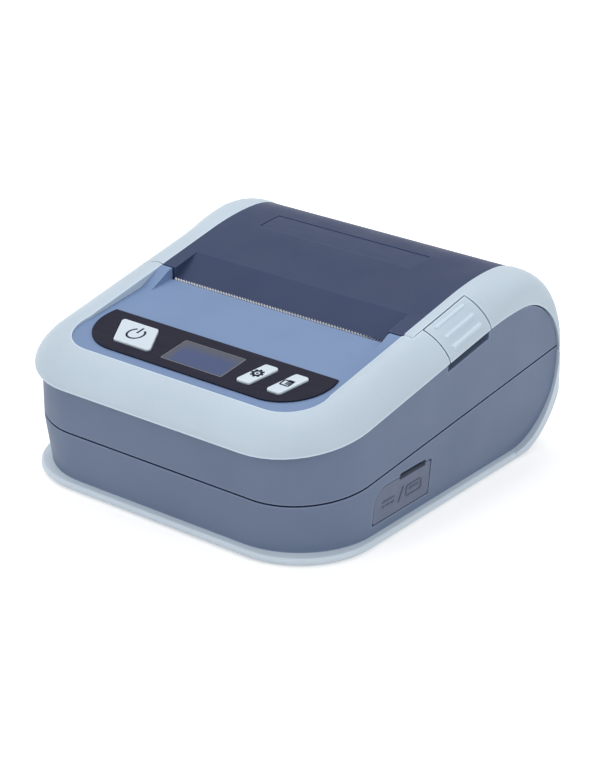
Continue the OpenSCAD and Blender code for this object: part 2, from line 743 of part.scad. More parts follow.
module chassis() {
  n_a = atan2(hinge_y - platen_y, platen_z - hinge_z) - 90;
  color("lightgray") difference() {
    union() {
      for (s = [-1, 1]) translate([s > 0 ? plate_x : -plate_x - plate_t, 0, 0]) yz(0, plate_t)
        polygon([
          [plate_y, stand_z], [platen_y + 7.6, stand_z], [platen_y + 7.6, platen_z - 1.5],
          [platen_y + 5.9, head_top - 0.4], [head_y - 6.3, head_top - 0.4], [plate_y + 13, platen_z - 13.5],
          [plate_y, main_z + 0.2]
        ]);
      // feet that stand on the posts
      for (s = [-1, 1], y = stand_ys)
        translate([s > 0 ? plate_x : -stand_x - 2.8, y - 3, stand_z])
          cube([stand_x + 2.8 - plate_x, 6, stand_t]);
      // bar that carries the head and the front bar that ties the plates
      translate([-plate_x - 0.5, head_y - 9, head_low - 2.6]) cube([2 * plate_x + 1, 8, 2.5]);
      translate([-plate_x - 0.5, plate_y + 13, stand_z]) cube([2 * plate_x + 1, 1.6, 6]);
      // stud for the idler
      translate([-gear_x0 - gear_w - 0.9, idler_y, idler_z]) rotate([0, 90, 0])
        cylinder(r = 1.5, h = gear_w + 2);
    }
    // notches that take the platen's bushings from above
    translate([-half, platen_y, platen_z]) rotate([n_a, 0, 0]) {
      rotate([0, 90, 0]) cylinder(r = bush_r + gap, h = width);
      translate([0, -bush_r - gap, 0]) cube([width, 2 * (bush_r + gap), 12]);
    }
    // motor shaft hole
    translate([-plate_x - 3, motor_y, motor_z]) rotate([0, 90, 0]) cylinder(r = 3, h = 6);
    for (s = [-1, 1], y = stand_ys) translate([s * stand_x, y, stand_z - 6]) cylinder(r = 1.1, h = 10);
  }
}

module chassis_screws() {
  color("silver") for (s = [-1, 1], y = stand_ys) translate([s * stand_x, y, stand_z + stand_t]) {
    cylinder(r = 2.1, h = 1.2);
    translate([0, 0, -1.4]) cylinder(r = 1.05, h = 1.6);
  }
}

module stepper_motor() {
  color("dimgray") translate([-plate_x, motor_y, motor_z]) rotate([0, 90, 0]) union() {
    cylinder(r = motor_r, h = motor_l);
    translate([0, 0, -0.9]) cylinder(r = 2.8, h = 1);
    translate([0, 0, motor_l - 0.1]) cylinder(r = 3, h = 1.4);
  }
}

// Spur gear outline with straight flanks, tooth centred at angle ph.
module gear_2d(n, m, ph) {
  r = m * n / 2;
  t = 360 / n;
  polygon([for (i = [0:n - 1]) let (a = ph + i * t) each [
    [(r - 1.2 * m) * cos(a - 0.31 * t), (r - 1.2 * m) * sin(a - 0.31 * t)],
    [r * cos(a - 0.19 * t), r * sin(a - 0.19 * t)],
    [(r + 0.7 * m) * cos(a - 0.08 * t), (r + 0.7 * m) * sin(a - 0.08 * t)],
    [(r + 0.7 * m) * cos(a + 0.08 * t), (r + 0.7 * m) * sin(a + 0.08 * t)],
    [r * cos(a + 0.19 * t), r * sin(a + 0.19 * t)],
    [(r - 1.2 * m) * cos(a + 0.31 * t), (r - 1.2 * m) * sin(a + 0.31 * t)]
  ]]);
}

p_ph = down_a;
i_ph = down_a + 180 + 180 / idler_teeth;
m_ph = motor_a + 180 - (i_ph - motor_a) * idler_teeth / motor_teeth + 180 / motor_teeth;

module platen_shaft() {
  color("silver") translate([-gear_x0 - gear_w - 0.6, platen_y, platen_z]) rotate([0, 90, 0])
    cylinder(r = shaft_r, h = gear_x0 + gear_w + 0.6 + plate_x + plate_t + 1);
}

module platen_roller() {
  color("#26262a") translate([-platen_l / 2, platen_y, platen_z]) rotate([0, 90, 0])
    difference() {
      cylinder(r = platen_r, h = platen_l);
      translate([0, 0, -1]) cylinder(r = shaft_r, h = platen_l + 2);
    }
}

module platen_gear() {
  color("white") difference() {
    yz(-gear_x0 - gear_w, -gear_x0) translate([platen_y, platen_z]) gear_2d(platen_teeth, gear_m, p_ph);
    translate([-gear_x0 - gear_w - 1, platen_y, platen_z]) rotate([0, 90, 0])
      cylinder(r = shaft_r, h = gear_w + 2);
  }
}

module idler_gear() {
  color("white") difference() {
    yz(-gear_x0 - gear_w, -gear_x0) translate([idler_y, idler_z]) gear_2d(idler_teeth, gear_m, i_ph);
    translate([-gear_x0 - gear_w - 1, idler_y, idler_z]) rotate([0, 90, 0])
      cylinder(r = 1.55, h = gear_w + 2);
  }
}

module motor_pinion() {
  color("goldenrod") union() {
    yz(-gear_x0 - gear_w, -gear_x0) translate([motor_y, motor_z]) gear_2d(motor_teeth, gear_m, m_ph);
    translate([-gear_x0 - 0.1, motor_y, motor_z]) rotate([0, 90, 0])
      cylinder(r = 1.2, h = gear_x0 - plate_x - 1.2);
  }
}

module platen_bushings() {
  color("ivory") for (s = [-1, 1])
    translate([s * (cover_half - 1), platen_y, platen_z]) rotate([0, 90, 0]) difference() {
      translate([0, 0, -2.9 - (s < 0 ? 0.3 : 0) + 0.15]) cylinder(r = bush_r, h = 6.1);
      translate([0, 0, -8]) cylinder(r = shaft_r + 0.05, h = 16);
    }
}

// Ears that hang from the cover and carry the platen, tied by a bar behind it.
function cheek_low(y) =
  lip_z - 1.2 + (crease_z() - 3 - lip_z + 1.2) * (y - cover_front) / (crease_y + 6 - cover_front);

module platen_carrier() {
  color("#3a4260") difference() {
    union() {
      for (s = [-1, 1]) translate([s > 0 ? cover_half - 3.2 : -cover_half + 0.2, 0, 0])
        yz(0, 3) union() {
          translate([platen_y, platen_z]) circle(bush_r + 2);
          polygon([[platen_y - 3.4, platen_z], [platen_y - 3.4, cheek_low(platen_y - 3.4)],
            [platen_y + 8, cheek_low(platen_y + 8)], [platen_y + 8, platen_z]]);
        }
      translate([-cover_half + 0.3, platen_y + 6.2, platen_z - 3])
        cube([2 * cover_half - 0.6, 1.4, cheek_low(platen_y + 6.2) - platen_z + 3]);
    }
    translate([-half, platen_y, platen_z]) rotate([0, 90, 0]) cylinder(r = bush_r, h = width);
  }
}

// ---- cover ----

// Height of the cover's surface at depth y, on its straight part.
function cover_z(y) = edge_z(y) + rise_at(y) - crown_drop;

// Outer line of the cover from the front edge to the split, lowered by d.
function cover_line(d) =
  let (rz = panel_r + rail_rise - crown_drop - d, a1 = rear_from(rz, split_z + split_gap))
  concat(
    [for (i = [0:12]) let (y = cover_front + (curve_y - cover_front) * i / 12) [y, cover_z(y) - d]],
    [for (i = [1:20]) rear_pt(panel_r + rim - rear_step - d, rz, 90 - (90 - a1) * i / 20)]
  );

function band(d0, d1) = concat(cover_line(d0), [for (k = [32:-1:0]) cover_line(d1)[k]]);

function crease_z() = cover_z(crease_y);

win_x0 = -33;
win_x1 = 25.5;
win_y1 = curve_y - 0.1;
win_y0 = win_y1 - 9.8;
win_recess = 0.15;
rear_step = 0.3;

module cover_shell() {
  color("#48526f") difference() {
    union() {
      yz(-cover_half, cover_half) polygon(band(0, wall));
      // cheeks at the trough's ends
      for (s = [-1, 1]) translate([s > 0 ? trough_half : -cover_half, 0, 0])
        yz(0, cover_half - trough_half) polygon([
          [cover_front, lip_z - 1.2], [cover_front, cover_z(cover_front)],
          [crease_y + 6, cover_z(crease_y + 6) - 1], [crease_y + 6, crease_z() - 3]
        ]);
      hinge_barrel(-cover_half, cover_half);
    }
    // paper exit trough
    yz(-trough_half, trough_half) polygon([
      [cover_front - 5, crease_z() + 9], [cover_front - 5, lip_z - 4], [cover_front + 0.4, lip_z - 4],
      [cover_front + 0.4, lip_z], [crease_y, crease_z()], [crease_y, crease_z() + 9]
    ]);
    // opening under the window
    translate([win_x0, win_y0, edge_top]) cube([win_x1 - win_x0, win_y1 - win_y0, 20]);
    // relief round the base's knuckles
    for (s = [-1, 1]) hinge_scoop(s * knuckle_x - relief_half(), s * knuckle_x + relief_half());
    for (s = [-1, 1]) translate([s * pin_x - pin_l / 2 - gap, 0, 0]) hinge_bore(pin_l + 2 * gap);
  }
  color("#48526f") yz(-trough_half - 0.5, trough_half + 0.5) polygon([
    [cover_front + 0.4, lip_z], [crease_y, crease_z()], [crease_y + 3, crease_z() - 1.6],
    [crease_y + 1.4, crease_z() - 2.4], [cover_front + 1.6, lip_z - 1.2], [cover_front + 0.4, lip_z - 1.2]
  ]);
}

module cover_window() {
  color("#3c4560") yz(win_x0, win_x1) polygon(concat(
    [for (i = [0:4]) let (y = win_y0 + (win_y1 - win_y0) * i / 4) [y, cover_z(y) - win_recess]],
    [for (i = [4:-1:0]) let (y = win_y0 + (win_y1 - win_y0) * i / 4) [y, cover_z(y) - wall]]
  ));
}

module rail_body(y0) {
  union() {
    loft(concat(
      [for (i = [16:-1:0]) arc_ring(i / 16)],
      [for (i = [7:-1:0]) run_ring(y0 + (curve_y - y0) * i / 8)]
    ));
    // bead that carries the rail on over the hinge line
    intersection() {
      hinge_barrel(cover_half, bezel_half);
      linear_extrude(height) rear_plan_2d(bezel_inset);
    }
  }
}

module rail_left() color("lightsteelblue") mirror([1, 0, 0]) rail_body(cover_front);

sliver_x1 = bezel_half - release_w - key_gap;

// Ring of the sliver at depth y, its top lowered by down and its underside raised by up.
function sliver_ring(y, down = 0, up = 0) =
  let (
    w = release_w + key_gap,
    a = acos(pow(1 - w / crown_w, rail_full / 2)),
    top = [[w, pow(sin(a), 2 / rail_full)], [crown_w, 1], [rail_w, 1 - crown_drop / rail_rise]],
    sec = concat(
      [for (p = top) [p[0], p[1] - down / rail_rise]],
      [for (p = [rail_w, crown_w, w]) [p, 0.6 + up / rail_rise]]
    )
  )
  run_points(sec, y, rail_lift);

module rail_right() {
  y1 = release_y + release_l + key_gap;
  color("lightsteelblue") union() {
    rail_body(y1);
    // sliver between the cover and the release key, with a blunt nose
    loft(concat(
      [for (i = [8:-1:0]) sliver_ring(cover_front + 1.4 + (y1 + 0.6 - cover_front) * i / 8)],
      [sliver_ring(cover_front + 0.4, 0.5, 0.3), sliver_ring(cover_front, 1.2, 0.6)]
    ));
  }
}

module hinge_pin() {
  color("silver") for (s = [-1, 1]) translate([s * pin_x - pin_l / 2, hinge_y, hinge_z]) rotate([0, 90, 0])
    cylinder(r = pin_r, h = pin_l);
}

// ---- release key and port cover ----

rel_a = acos(pow(1 - release_w / crown_w, rail_full / 2));

module release_key() {
  y1 = release_y + release_l;
  color("aliceblue") union() {
    loft([for (i = [4:-1:0]) let (y = release_y + release_l * i / 4)
      [for (p = rail_section(rail_w, crown_w, rail_rise, crown_drop, rel_a, 0))
        [bezel_half - p[0], y, edge_z(y) + gap + (rise_at(y) - gap) * p[1]]]]);
    // finger ribs
    for (k = [0.36, 0.6, 0.86]) let (p = rail_curve(9, rel_a * k)[9], y = release_y + rib_end)
      translate([bezel_half - crown_w * p[0], y, edge_z(y) + rise_at(y) * p[1]])
        rotate([atan(edge_slope + rise_slope) - 90, 0, 0]) cylinder(r = rib_r, h = release_l - 2 * rib_end, $fn = 16);
    // web that guides the key and joins the hook
    translate([bezel_half - 8.6, release_y + 6, edge_z(release_y) - 1])
      cube([1.8, release_l - 12, 7.4]);
  }
}

module release_plunger() {
  color("silver") translate([bezel_half - 8.6 - 1.4, release_y + 7, edge_z(release_y) - 7])
    union() {
      cube([1.4, release_l - 14, 9]);
      cube([3.4, release_l - 14, 1.4]);
    }
}

module port_cover() {
  color("slategray") difference() {
    intersection() {
      lower_solid(0.1, 1);
      yz(0, half) flap_2d();
    }
    lower_solid(1.9, 2);
    // finger notch
    translate([house_half - 3.4, flap_y + 11.6, flap_z + flap_h - 0.9]) cube([6, 12.4, 1.5]);
  }
}

// ---- boards, sockets and battery ----

module main_board() {
  color("darkgreen") difference() {
    translate([-post_x - 3.5, post_ys[0] - 4, main_z]) cube([2 * post_x + 7, 24, 1.6]);
    for (s = [-1, 1], y = post_ys) translate([s * post_x, y, main_z - 1]) cylinder(r = 1.2, h = 5);
  }
}

module port_board() {
  color("darkgreen") translate([port_x - port_w, flap_y, board_z]) cube([port_w, 27, 1.4]);
}

module dc_jack() {
  z = board_z + 1.4;
  color("#222222") difference() {
    translate([port_x - 10.5, flap_y + 2.5, z]) cube([10.5, 8.6, 7.6]);
    translate([port_x - 9, flap_y + 6.8, z + 3.9]) rotate([0, 90, 0]) cylinder(r = 2.8, h = 10);
  }
  color("silver") translate([port_x - 9.4, flap_y + 6.8, z + 3.9]) rotate([0, 90, 0])
    cylinder(r = 0.95, h = 8.6);
}

module usb_socket() {
  z = board_z + 1.4;
  color("silver") difference() {
    translate([port_x - 9, flap_y + 15.5, z]) cube([9, 7.8, 4.2]);
    translate([port_x - 7.8, flap_y + 16.2, z + 0.7]) cube([9, 6.4, 2.8]);
  }
  color("#222222") translate([port_x - 8, flap_y + 17, z + 1.6]) cube([6.6, 4.8, 0.8]);
}

module battery_pack() {
  color("#30405a") translate([-batt_l / 2, batt_y - batt_d / 2, batt_z]) cube([batt_l, batt_d, batt_t]);
}

module battery_contacts() {
  y = batt_y + batt_d / 2;
  z = foot_h + wall - 0.2;
  color("gold") for (i = [-1:1]) yz(8 * i - 1.2, 8 * i + 1.2) polygon([
    [y + 4.4, z], [y + 1.5, z], [y + 1.5, z + 7], [y + 0.1, z + 8], [y + 0.1, z + 9], [y + 2.1, z + 8.6],
    [y + 2.1, z + 0.7], [y + 4.4, z + 0.7]
  ]);
}

module battery_door() {
  color("lightsteelblue") union() {
    translate([-door_half() + gap, batt_y - batt_d / 2 - 1 + gap, foot_h])
      cube([2 * (door_half() - gap), door_hinge_y() - batt_y + batt_d / 2 + 1 - gap, 1.6]);
    translate([-door_half() + gap, door_hinge_y(), door_hinge_z()]) rotate([0, 90, 0])
      cylinder(r = 1.1, h = 2 * (door_half() - gap));
  }
}

module rubber_feet() {
  color("#222222") for (p = foot_pts()) translate([p[0], p[1], 0])
    cylinder(r = foot_r, h = foot_h + 0.8);
}

module base_screws() {
  color("silver") for (p = screw_pts)
    translate([p[0], p[1], foot_h + 0.3]) {
      cylinder(r = 2.5, h = 1.3);
      translate([0, 0, 1.2]) cylinder(r = 1.3, h = 8);
    }
}

// ---- paper bin and roll guides ----

module bin_2d(g) {
  translate([bin_y, bin_z]) circle(bin_r + g, $fn = 96);
}

module paper_bin() {
  color("#3a4260") difference() {
    union() {
      yz(-bin_half - bin_wall, bin_half + bin_wall) intersection() {
        union() {
          bin_2d(bin_wall);
          translate([bin_front, bin_z - 4]) square([2 * (bin_r + bin_wall), bin_top - bin_z + 4]);
        }
        translate([bin_front, 0]) square([60, bin_top]);
      }
      // shelves that the racks slide on
      translate([-bin_half, rack_y - 0.4, rack_z - rack_d - 2]) cube([2 * bin_half, 8.6, 1.6]);
      translate([-bin_half, rack_y - 0.4, rack_z + rack_d + gap]) cube([2 * bin_half, bin_front - rack_y + 1, 1.4]);
    }
    yz(-bin_half, bin_half) union() {
      bin_2d(0);
      translate([bin_y - bin_r, bin_z]) square([2 * bin_r, 30]);
    }
    // slots for the guides' arms
    for (s = [-1, 1]) translate([s > 0 ? arm_x0() : -bin_half + 0.4, bin_front - 0.1, arm_z(s) - 0.5])
      cube([bin_half - 0.4 - arm_x0(), 12, arm_h + 1]);
  }
  // stud for the guide pinion
  color("#3a4260") translate([0, bin_front + 1.6, rack_z]) rotate([90, 0, 0])
    cylinder(r = 1.2, h = bin_front + 1.6 - rack_y + 0.4);
}

// Depth of a rack from the pinion's centre to its back.
rack_d = g_r + 1.2 * guide_m + 1.4;
arm_h = 3;
function arm_x0() = guide_x0 - guide_t - guide_travel - 0.6;
function arm_z(s) = s > 0 ? rack_z - rack_d : rack_z + rack_d - arm_h;

module paper_sensor() {
  color("#222222") translate([-4, head_y - 6, head_low - 7.7]) cube([8, 5, 5]);
}

// Straight rack of n teeth, pointing up, starting at x = 0.
module rack_2d(n, m) {
  p = PI * m;
  polygon(concat(
    [[0, -1.2 * m - 1.4]],
    [[0, -1.2 * m]],
    [for (i = [0:n - 1]) each [
      [p * (i + 0.5) - 0.31 * p, -1.2 * m], [p * (i + 0.5) - 0.19 * p, 0],
      [p * (i + 0.5) - 0.08 * p, 0.7 * m], [p * (i + 0.5) + 0.08 * p, 0.7 * m],
      [p * (i + 0.5) + 0.19 * p, 0], [p * (i + 0.5) + 0.31 * p, -1.2 * m]
    ]],
    [[p * n, -1.2 * m]],
    [[p * n, -1.2 * m - 1.4]]
  ));
}

// Disc, arm through the bin's slot, and rack: right side with s = 1, left side with s = -1.
module guide_body(s) {
  p = PI * guide_m;
  n = ceil((guide_travel + 6) / p);
  mirror([s > 0 ? 0 : 1, 0, 0]) {
    yz(guide_x0 - guide_t, guide_x0) translate([bin_y, bin_z]) circle(guide_r);
    translate([guide_x0 - guide_t, rack_y, arm_z(s)]) cube([guide_t, bin_y - rack_y, arm_h]);
    translate([0, 0, rack_z]) mirror([0, 0, s > 0 ? 0 : 1]) xz(rack_y, rack_y + 2.4) {
      translate([-1.5 * p, -g_r]) rack_2d(n, guide_m);
      translate([(n - 2) * p, -rack_d]) square([guide_x0 - (n - 2) * p, 1.4]);
    }
  }
}

module guide_right() color("ivory") guide_body(1);
module guide_left() color("ivory") guide_body(-1);

module guide_pinion() {
  color("ivory") difference() {
    xz(rack_y, rack_y + 2.4) translate([0, rack_z]) gear_2d(guide_teeth, guide_m, 90 + 180 / guide_teeth);
    translate([0, rack_y - 1, rack_z]) rotate([-90, 0, 0]) cylinder(r = 1.25, h = 6);
  }
}

base_tray();
lower_housing();
upper_housing();
top_bezel();
front_deck();
key_overlay();
lcd_window();
lcd_module();
panel_board();
key_switches();
tear_bar();
head_heatsink();
head_ceramic();
chassis();
stepper_motor();
main_board();
port_board();
dc_jack();
usb_socket();
battery_pack();
battery_contacts();
paper_bin();
paper_sensor();
hinge_pin();
rubber_feet();
base_screws();
chassis_screws();
cover_shell();
cover_window();
rail_left();
rail_right();
platen_carrier();
platen_bushings();
platen_roller();
platen_shaft();
platen_gear();
idler_gear();
motor_pinion();
power_key();
settings_key();
feed_key();
release_key();
release_plunger();
port_cover();
battery_door();
guide_left();
guide_right();
guide_pinion();
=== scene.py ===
"""Looks of a portable 80 mm thermal printer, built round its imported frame.

The file is laid out as an add-on: sizes and colours are properties, each group of pieces is an operator,
and a panel in the 3D view's sidebar lists them all.
"""

import json
import math

import bmesh
import bpy
from mathutils import Matrix, Vector

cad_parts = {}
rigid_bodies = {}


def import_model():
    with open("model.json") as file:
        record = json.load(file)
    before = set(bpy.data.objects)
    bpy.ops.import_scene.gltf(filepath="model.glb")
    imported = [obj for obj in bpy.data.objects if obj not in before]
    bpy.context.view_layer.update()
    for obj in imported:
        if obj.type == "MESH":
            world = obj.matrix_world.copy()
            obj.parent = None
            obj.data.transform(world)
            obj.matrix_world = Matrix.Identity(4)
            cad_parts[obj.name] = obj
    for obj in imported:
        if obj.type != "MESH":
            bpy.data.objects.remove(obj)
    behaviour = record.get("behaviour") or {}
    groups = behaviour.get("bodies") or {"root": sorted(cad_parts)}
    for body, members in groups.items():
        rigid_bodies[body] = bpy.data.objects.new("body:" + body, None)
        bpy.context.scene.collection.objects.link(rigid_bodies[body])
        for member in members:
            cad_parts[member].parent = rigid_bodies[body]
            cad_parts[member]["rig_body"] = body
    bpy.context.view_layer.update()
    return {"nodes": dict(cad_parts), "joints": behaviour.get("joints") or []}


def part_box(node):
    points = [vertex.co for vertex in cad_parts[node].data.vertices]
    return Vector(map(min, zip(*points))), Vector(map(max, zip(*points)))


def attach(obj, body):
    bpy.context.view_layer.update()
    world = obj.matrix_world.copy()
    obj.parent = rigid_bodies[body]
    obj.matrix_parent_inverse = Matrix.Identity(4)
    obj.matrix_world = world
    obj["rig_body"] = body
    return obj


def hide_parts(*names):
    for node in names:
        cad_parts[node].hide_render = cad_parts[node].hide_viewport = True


bl_info = {
    "name": "Portable Thermal Printer",
    "version": (1, 0, 0),
    "blender": (4, 5, 0),
    "location": "3D View > Sidebar > Printer",
    "description": "Finishes, rounded edges, key symbols and studio for a portable thermal printer",
    "category": "Object",
}

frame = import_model()
NODES = frame["nodes"]
MM = 0.001
KEY_AXIS = Vector(next(j["axis"] for j in frame["joints"] if j["name"] == "power_press"))
WELD = 0.002 * MM  # points of a solid this close are one
TOUCH = 0.001 * MM  # points of a new shape this close are one
CAP_DEPTH = 0.02 * MM  # points this close to a key's highest plane lie on its cap
FLAT = math.radians(0.3)  # faces that turn by less than this lie in one plane
SHARP = math.radians(30)  # edges that turn by more than this are rounded


# ---- sizes and colours ----

def colour(name, description, srgb):
    """A colour property from an 8-bit sRGB triple."""
    return bpy.props.FloatVectorProperty(
        name=name, description=description, subtype="COLOR", size=3, min=0.0, max=1.0,
        default=tuple(linear(c / 255) for c in srgb),
    )


def linear(c):
    """One sRGB channel as linear light."""
    return c / 12.92 if c <= 0.04045 else ((c + 0.055) / 1.055) ** 2.4


def length(name, description, millimetres):
    """A length property, in metres."""
    return bpy.props.FloatProperty(
        name=name, description=description, default=millimetres * MM, min=0.0, unit="LENGTH", precision=5,
    )


class PrinterColours(bpy.types.PropertyGroup):
    """Colours of the printer's mouldings and films."""

    trim: colour("Trim", "Bezel, rails and release key", (192, 208, 221))
    base: colour("Base", "Base tray with its lip and rear band", (208, 221, 232))
    housing: colour("Housing", "Lower and upper housing", (107, 122, 148))
    deck: colour("Deck", "Sloping deck round the keys", (120, 144, 183))
    cover: colour("Cover", "Hinged cover and paper bin", (58, 69, 99))
    overlay: colour("Overlay", "Film round the keys", (34, 35, 50))
    key: colour("Keys", "Key caps", (210, 223, 234))
    ink: colour("Ink", "Symbols on the keys", (30, 36, 58))
    display: colour("Display", "Unlit display", (70, 84, 124))
    rubber: colour("Port cover", "Rubber of the port cover", (108, 117, 139))
    # painted shade: dark colour of the strips and the sheet set into the seams, where only shade falls
    seam: colour("Seams", "Seals and skirts that show dark in the seams", (20, 28, 50))


class PrinterSizes(bpy.types.PropertyGroup):
    """Sizes of the details that the frame's solids don't carry."""

    shell_edge: length("Shell edge", "Edge radius of the outer mouldings", 0.35)
    key_edge: length("Key edge", "Edge radius of a key cap", 0.4)
    sheet_edge: length("Sheet edge", "Edge radius of sheet metal and boards", 0.08)
    grain: length("Grain", "Grain of the moulded surfaces", 0.22)
    ink_t: length("Ink thickness", "Height of the printed symbols", 0.03)
    power_ring: length("Power ring", "Radius of the ring in the power symbol", 2.75)
    power_stroke: length("Power stroke", "Line width of the power symbol", 0.7)
    cog_radius: length("Cog radius", "Radius of the settings symbol", 2.1)
    sheet_symbol: length("Feed symbol", "Width of the feed symbol", 4.2)
    draft: length("Draft", "Lean of the lower housing's side over its draft height", 1.25)
    draft_top: length("Draft top", "Height up to which the lower housing leans", 17.0)
    draft_height: length("Draft height", "Height over which the lower housing leans", 15.0)
    emboss: length("Emboss", "Height of the raised symbols on the port cover", 0.22)
    emboss_stroke: length("Emboss stroke", "Line width of the raised symbols", 0.55)
    parting_height: length("Parting height", "Height of the parting line at the front", 17.5)
    edge_height: length("Rail edge", "Height of the rails' lower edge at the front of the release key", 44.63)
    seam: length("Seam", "Width of the seam along the parting line", 0.5)
    # the seal in these two descriptions is a dark strip that paints the shade in a seam
    seam_depth: length("Seam depth", "Depth at which the seal shows in a seam", 0.12)
    seam_fill: length("Seam fill", "Width that a seal takes up of the seam beside a rail or key", 0.4)
    tooth: length("Tooth", "Pitch of the tear bar's teeth", 1.05)
    tooth_depth: length("Tooth depth", "Depth of the tear bar's teeth", 0.8)
    # painted highlight: width of the band along moulded edges that is painted lighter
    edge_highlight_width: length("Polished edge", "Width over which a moulded edge is polished", 0.8)


class PrinterSlopes(bpy.types.PropertyGroup):
    """Rises per length of the lines that the dark strips of painted seam shade follow."""

    parting: bpy.props.FloatProperty(
        name="Parting rise", description="Rise of the parting line per length of depth", default=0.11)
    edge: bpy.props.FloatProperty(
        name="Edge rise", description="Rise of the rails' lower edge per length of depth", default=0.1852)


class PrinterStage(bpy.types.PropertyGroup):
    """Camera and light."""

    azimuth: bpy.props.FloatProperty(
        name="Azimuth", description="Camera's turn about the printer", subtype="ANGLE", unit="ROTATION",
        default=math.radians(38.365))
    elevation: bpy.props.FloatProperty(
        name="Elevation", description="Camera's height angle", subtype="ANGLE", unit="ROTATION",
        default=math.radians(24.172))
    distance: length("Distance", "From the camera to the point it aims at", 701.97)
    lens: bpy.props.FloatProperty(
        name="Lens", description="Focal length in millimetres on a 36 mm sensor", default=109.81, min=10.0)
    aim: bpy.props.FloatVectorProperty(
        name="Aim", description="Point that the camera looks at", subtype="TRANSLATION", unit="LENGTH", size=3,
        default=(3.960 * MM, 1.317 * MM, 23.777 * MM))
    sky: bpy.props.FloatProperty(name="Sky", description="Strength of the even light", default=0.5, min=0.0)
    key_light: bpy.props.FloatProperty(name="Main lamp", description="Power of the main lamp", default=3.9, min=0.0)


def sizes():
    """The scene's values of the detail sizes."""
    return bpy.context.scene.printer_sizes


def slopes():
    """The scene's values of the seals' slopes."""
    return bpy.context.scene.printer_slopes


def colours():
    """The scene's values of the colours."""
    return bpy.context.scene.printer_colours


# ---- materials ----

class Finish:
    """A Principled material and the few nodes that give it grain, tone, wear and painted edge highlights."""

    def __init__(self, name, base, roughness, metallic=0.0):
        self.material = bpy.data.materials.new(name)
        self.material.use_nodes = True
        self.tree = self.material.node_tree
        self.shader = self.tree.nodes["Principled BSDF"]
        self.base = (*base, 1.0)
        self.shader.inputs["Base Color"].default_value = self.base
        self.shader.inputs["Roughness"].default_value = roughness
        self.shader.inputs["Metallic"].default_value = metallic
        self.height = None
        self.tone = None

    def add(self, kind, **values):
        """A node of that kind, with its inputs or settings given by name."""
        node = self.tree.nodes.new(kind)
        for name, value in values.items():
            if name in node.inputs:
                node.inputs[name].default_value = value
            else:
                setattr(node, name, value)
        return node

    def link(self, out, into):
        """Joins an output to an input."""
        self.tree.links.new(out, into)

    def place(self, stretch=(1, 1, 1)):
        """Object coordinates, stretched for a brushed or drawn grain."""
        coordinates = self.add("ShaderNodeTexCoord")
        mapping = self.add("ShaderNodeMapping")
        mapping.inputs["Scale"].default_value = stretch
        self.link(coordinates.outputs["Object"], mapping.inputs["Vector"])
        return mapping.outputs["Vector"]

    def noise(self, size, detail=3.0, stretch=(1, 1, 1)):
        """Noise with features of about that size in metres."""
        texture = self.add("ShaderNodeTexNoise", Scale=1 / size, Detail=detail, Roughness=0.55)
        self.link(self.place(stretch), texture.inputs["Vector"])
        return texture.outputs["Fac"]

    def cells(self, size):
        """Distance from the middles of cells of about that size in metres."""
        texture = self.add("ShaderNodeTexVoronoi", Scale=1 / size)
        self.link(self.place(), texture.inputs["Vector"])
        return texture.outputs["Distance"]

    def ramp(self, value, low, high, out_low=0.0, out_high=1.0):
        """Maps low to high onto out_low to out_high."""
        node = self.add("ShaderNodeMapRange")
        for name, limit in (("From Min", low), ("From Max", high), ("To Min", out_low), ("To Max", out_high)):
            node.inputs[name].default_value = limit
        self.link(value, node.inputs["Value"])
        return node.outputs["Result"]

    def edge(self, radius):
        """1 within that distance of an edge, from how far a rounded normal turns away from the surface's own."""
        rounded = self.add("ShaderNodeBevel", samples=4, Radius=radius)
        flat = self.add("ShaderNodeNewGeometry")
        turn = self.add("ShaderNodeVectorMath", operation="DOT_PRODUCT")
        self.link(rounded.outputs["Normal"], turn.inputs[0])
        self.link(flat.outputs["Normal"], turn.inputs[1])
        off_edge, on_edge = 0.998, 0.96
        return self.ramp(turn.outputs["Value"], off_edge, on_edge)

    def blend(self, factor, other):
        """Mixes the colour so far with another where the factor is high."""
        mix = self.add("ShaderNodeMix", data_type="RGBA")
        self.link(factor, mix.inputs[0])
        if self.tone is None:
            mix.inputs[6].default_value = self.base
        else:
            self.link(self.tone, mix.inputs[6])
        mix.inputs[7].default_value = (*other, 1.0)
        self.tone = mix.outputs[2]
        self.link(self.tone, self.shader.inputs["Base Color"])
        return self

    def rough(self, value, low, high):
        """Lets the roughness wander between two values."""
        self.link(self.ramp(value, 0.3, 0.7, low, high), self.shader.inputs["Roughness"])
        return self

    def bump(self, value, depth, strength=1.0):
        """Adds a height of that depth in metres."""
        node = self.add("ShaderNodeBump", Strength=strength, Distance=depth)
        self.link(value, node.inputs["Height"])
        if self.height is not None:
            self.link(self.height, node.inputs["Normal"])
        self.height = node.outputs["Normal"]
        self.link(self.height, self.shader.inputs["Normal"])
        return self


def shade(base, factor):
    """A colour made lighter or darker by a factor."""
    return tuple(min(1.0, c * factor) for c in base)


def moulded(name, base, roughness=0.42, grain=1.0, depth=0.006, gloss=0.3, edges=0.0):
    """Injection moulded plastic: spark-eroded grain, faint flow tone, and edges painted lighter as a highlight."""
    size = sizes().grain * grain
    flow_size, wear_size = 0.03, 0.012
    finish = Finish(name, base, roughness)
    finish.shader.inputs["IOR"].default_value = 1.5
    finish.shader.inputs["Specular IOR Level"].default_value = gloss
    finish.blend(finish.ramp(finish.noise(flow_size, 2), 0.35, 0.7, 0.0, 1.0), shade(base, 0.94))
    finish.blend(finish.ramp(finish.noise(size * 2, 2), 0.52, 0.75, 0.0, 0.5), shade(base, 1.06))
    # painted highlight: edges sets how much lighter the band along each edge is painted
    if edges:
        finish.blend(finish.edge(sizes().edge_highlight_width), shade(base, 1.0 + edges))
    finish.rough(finish.noise(wear_size, 4), roughness - 0.05, roughness + 0.07)
    finish.bump(finish.noise(size, 2), depth * MM, 0.5)
    finish.bump(finish.cells(size * 2.2), depth * MM, 0.35)
    return finish.material


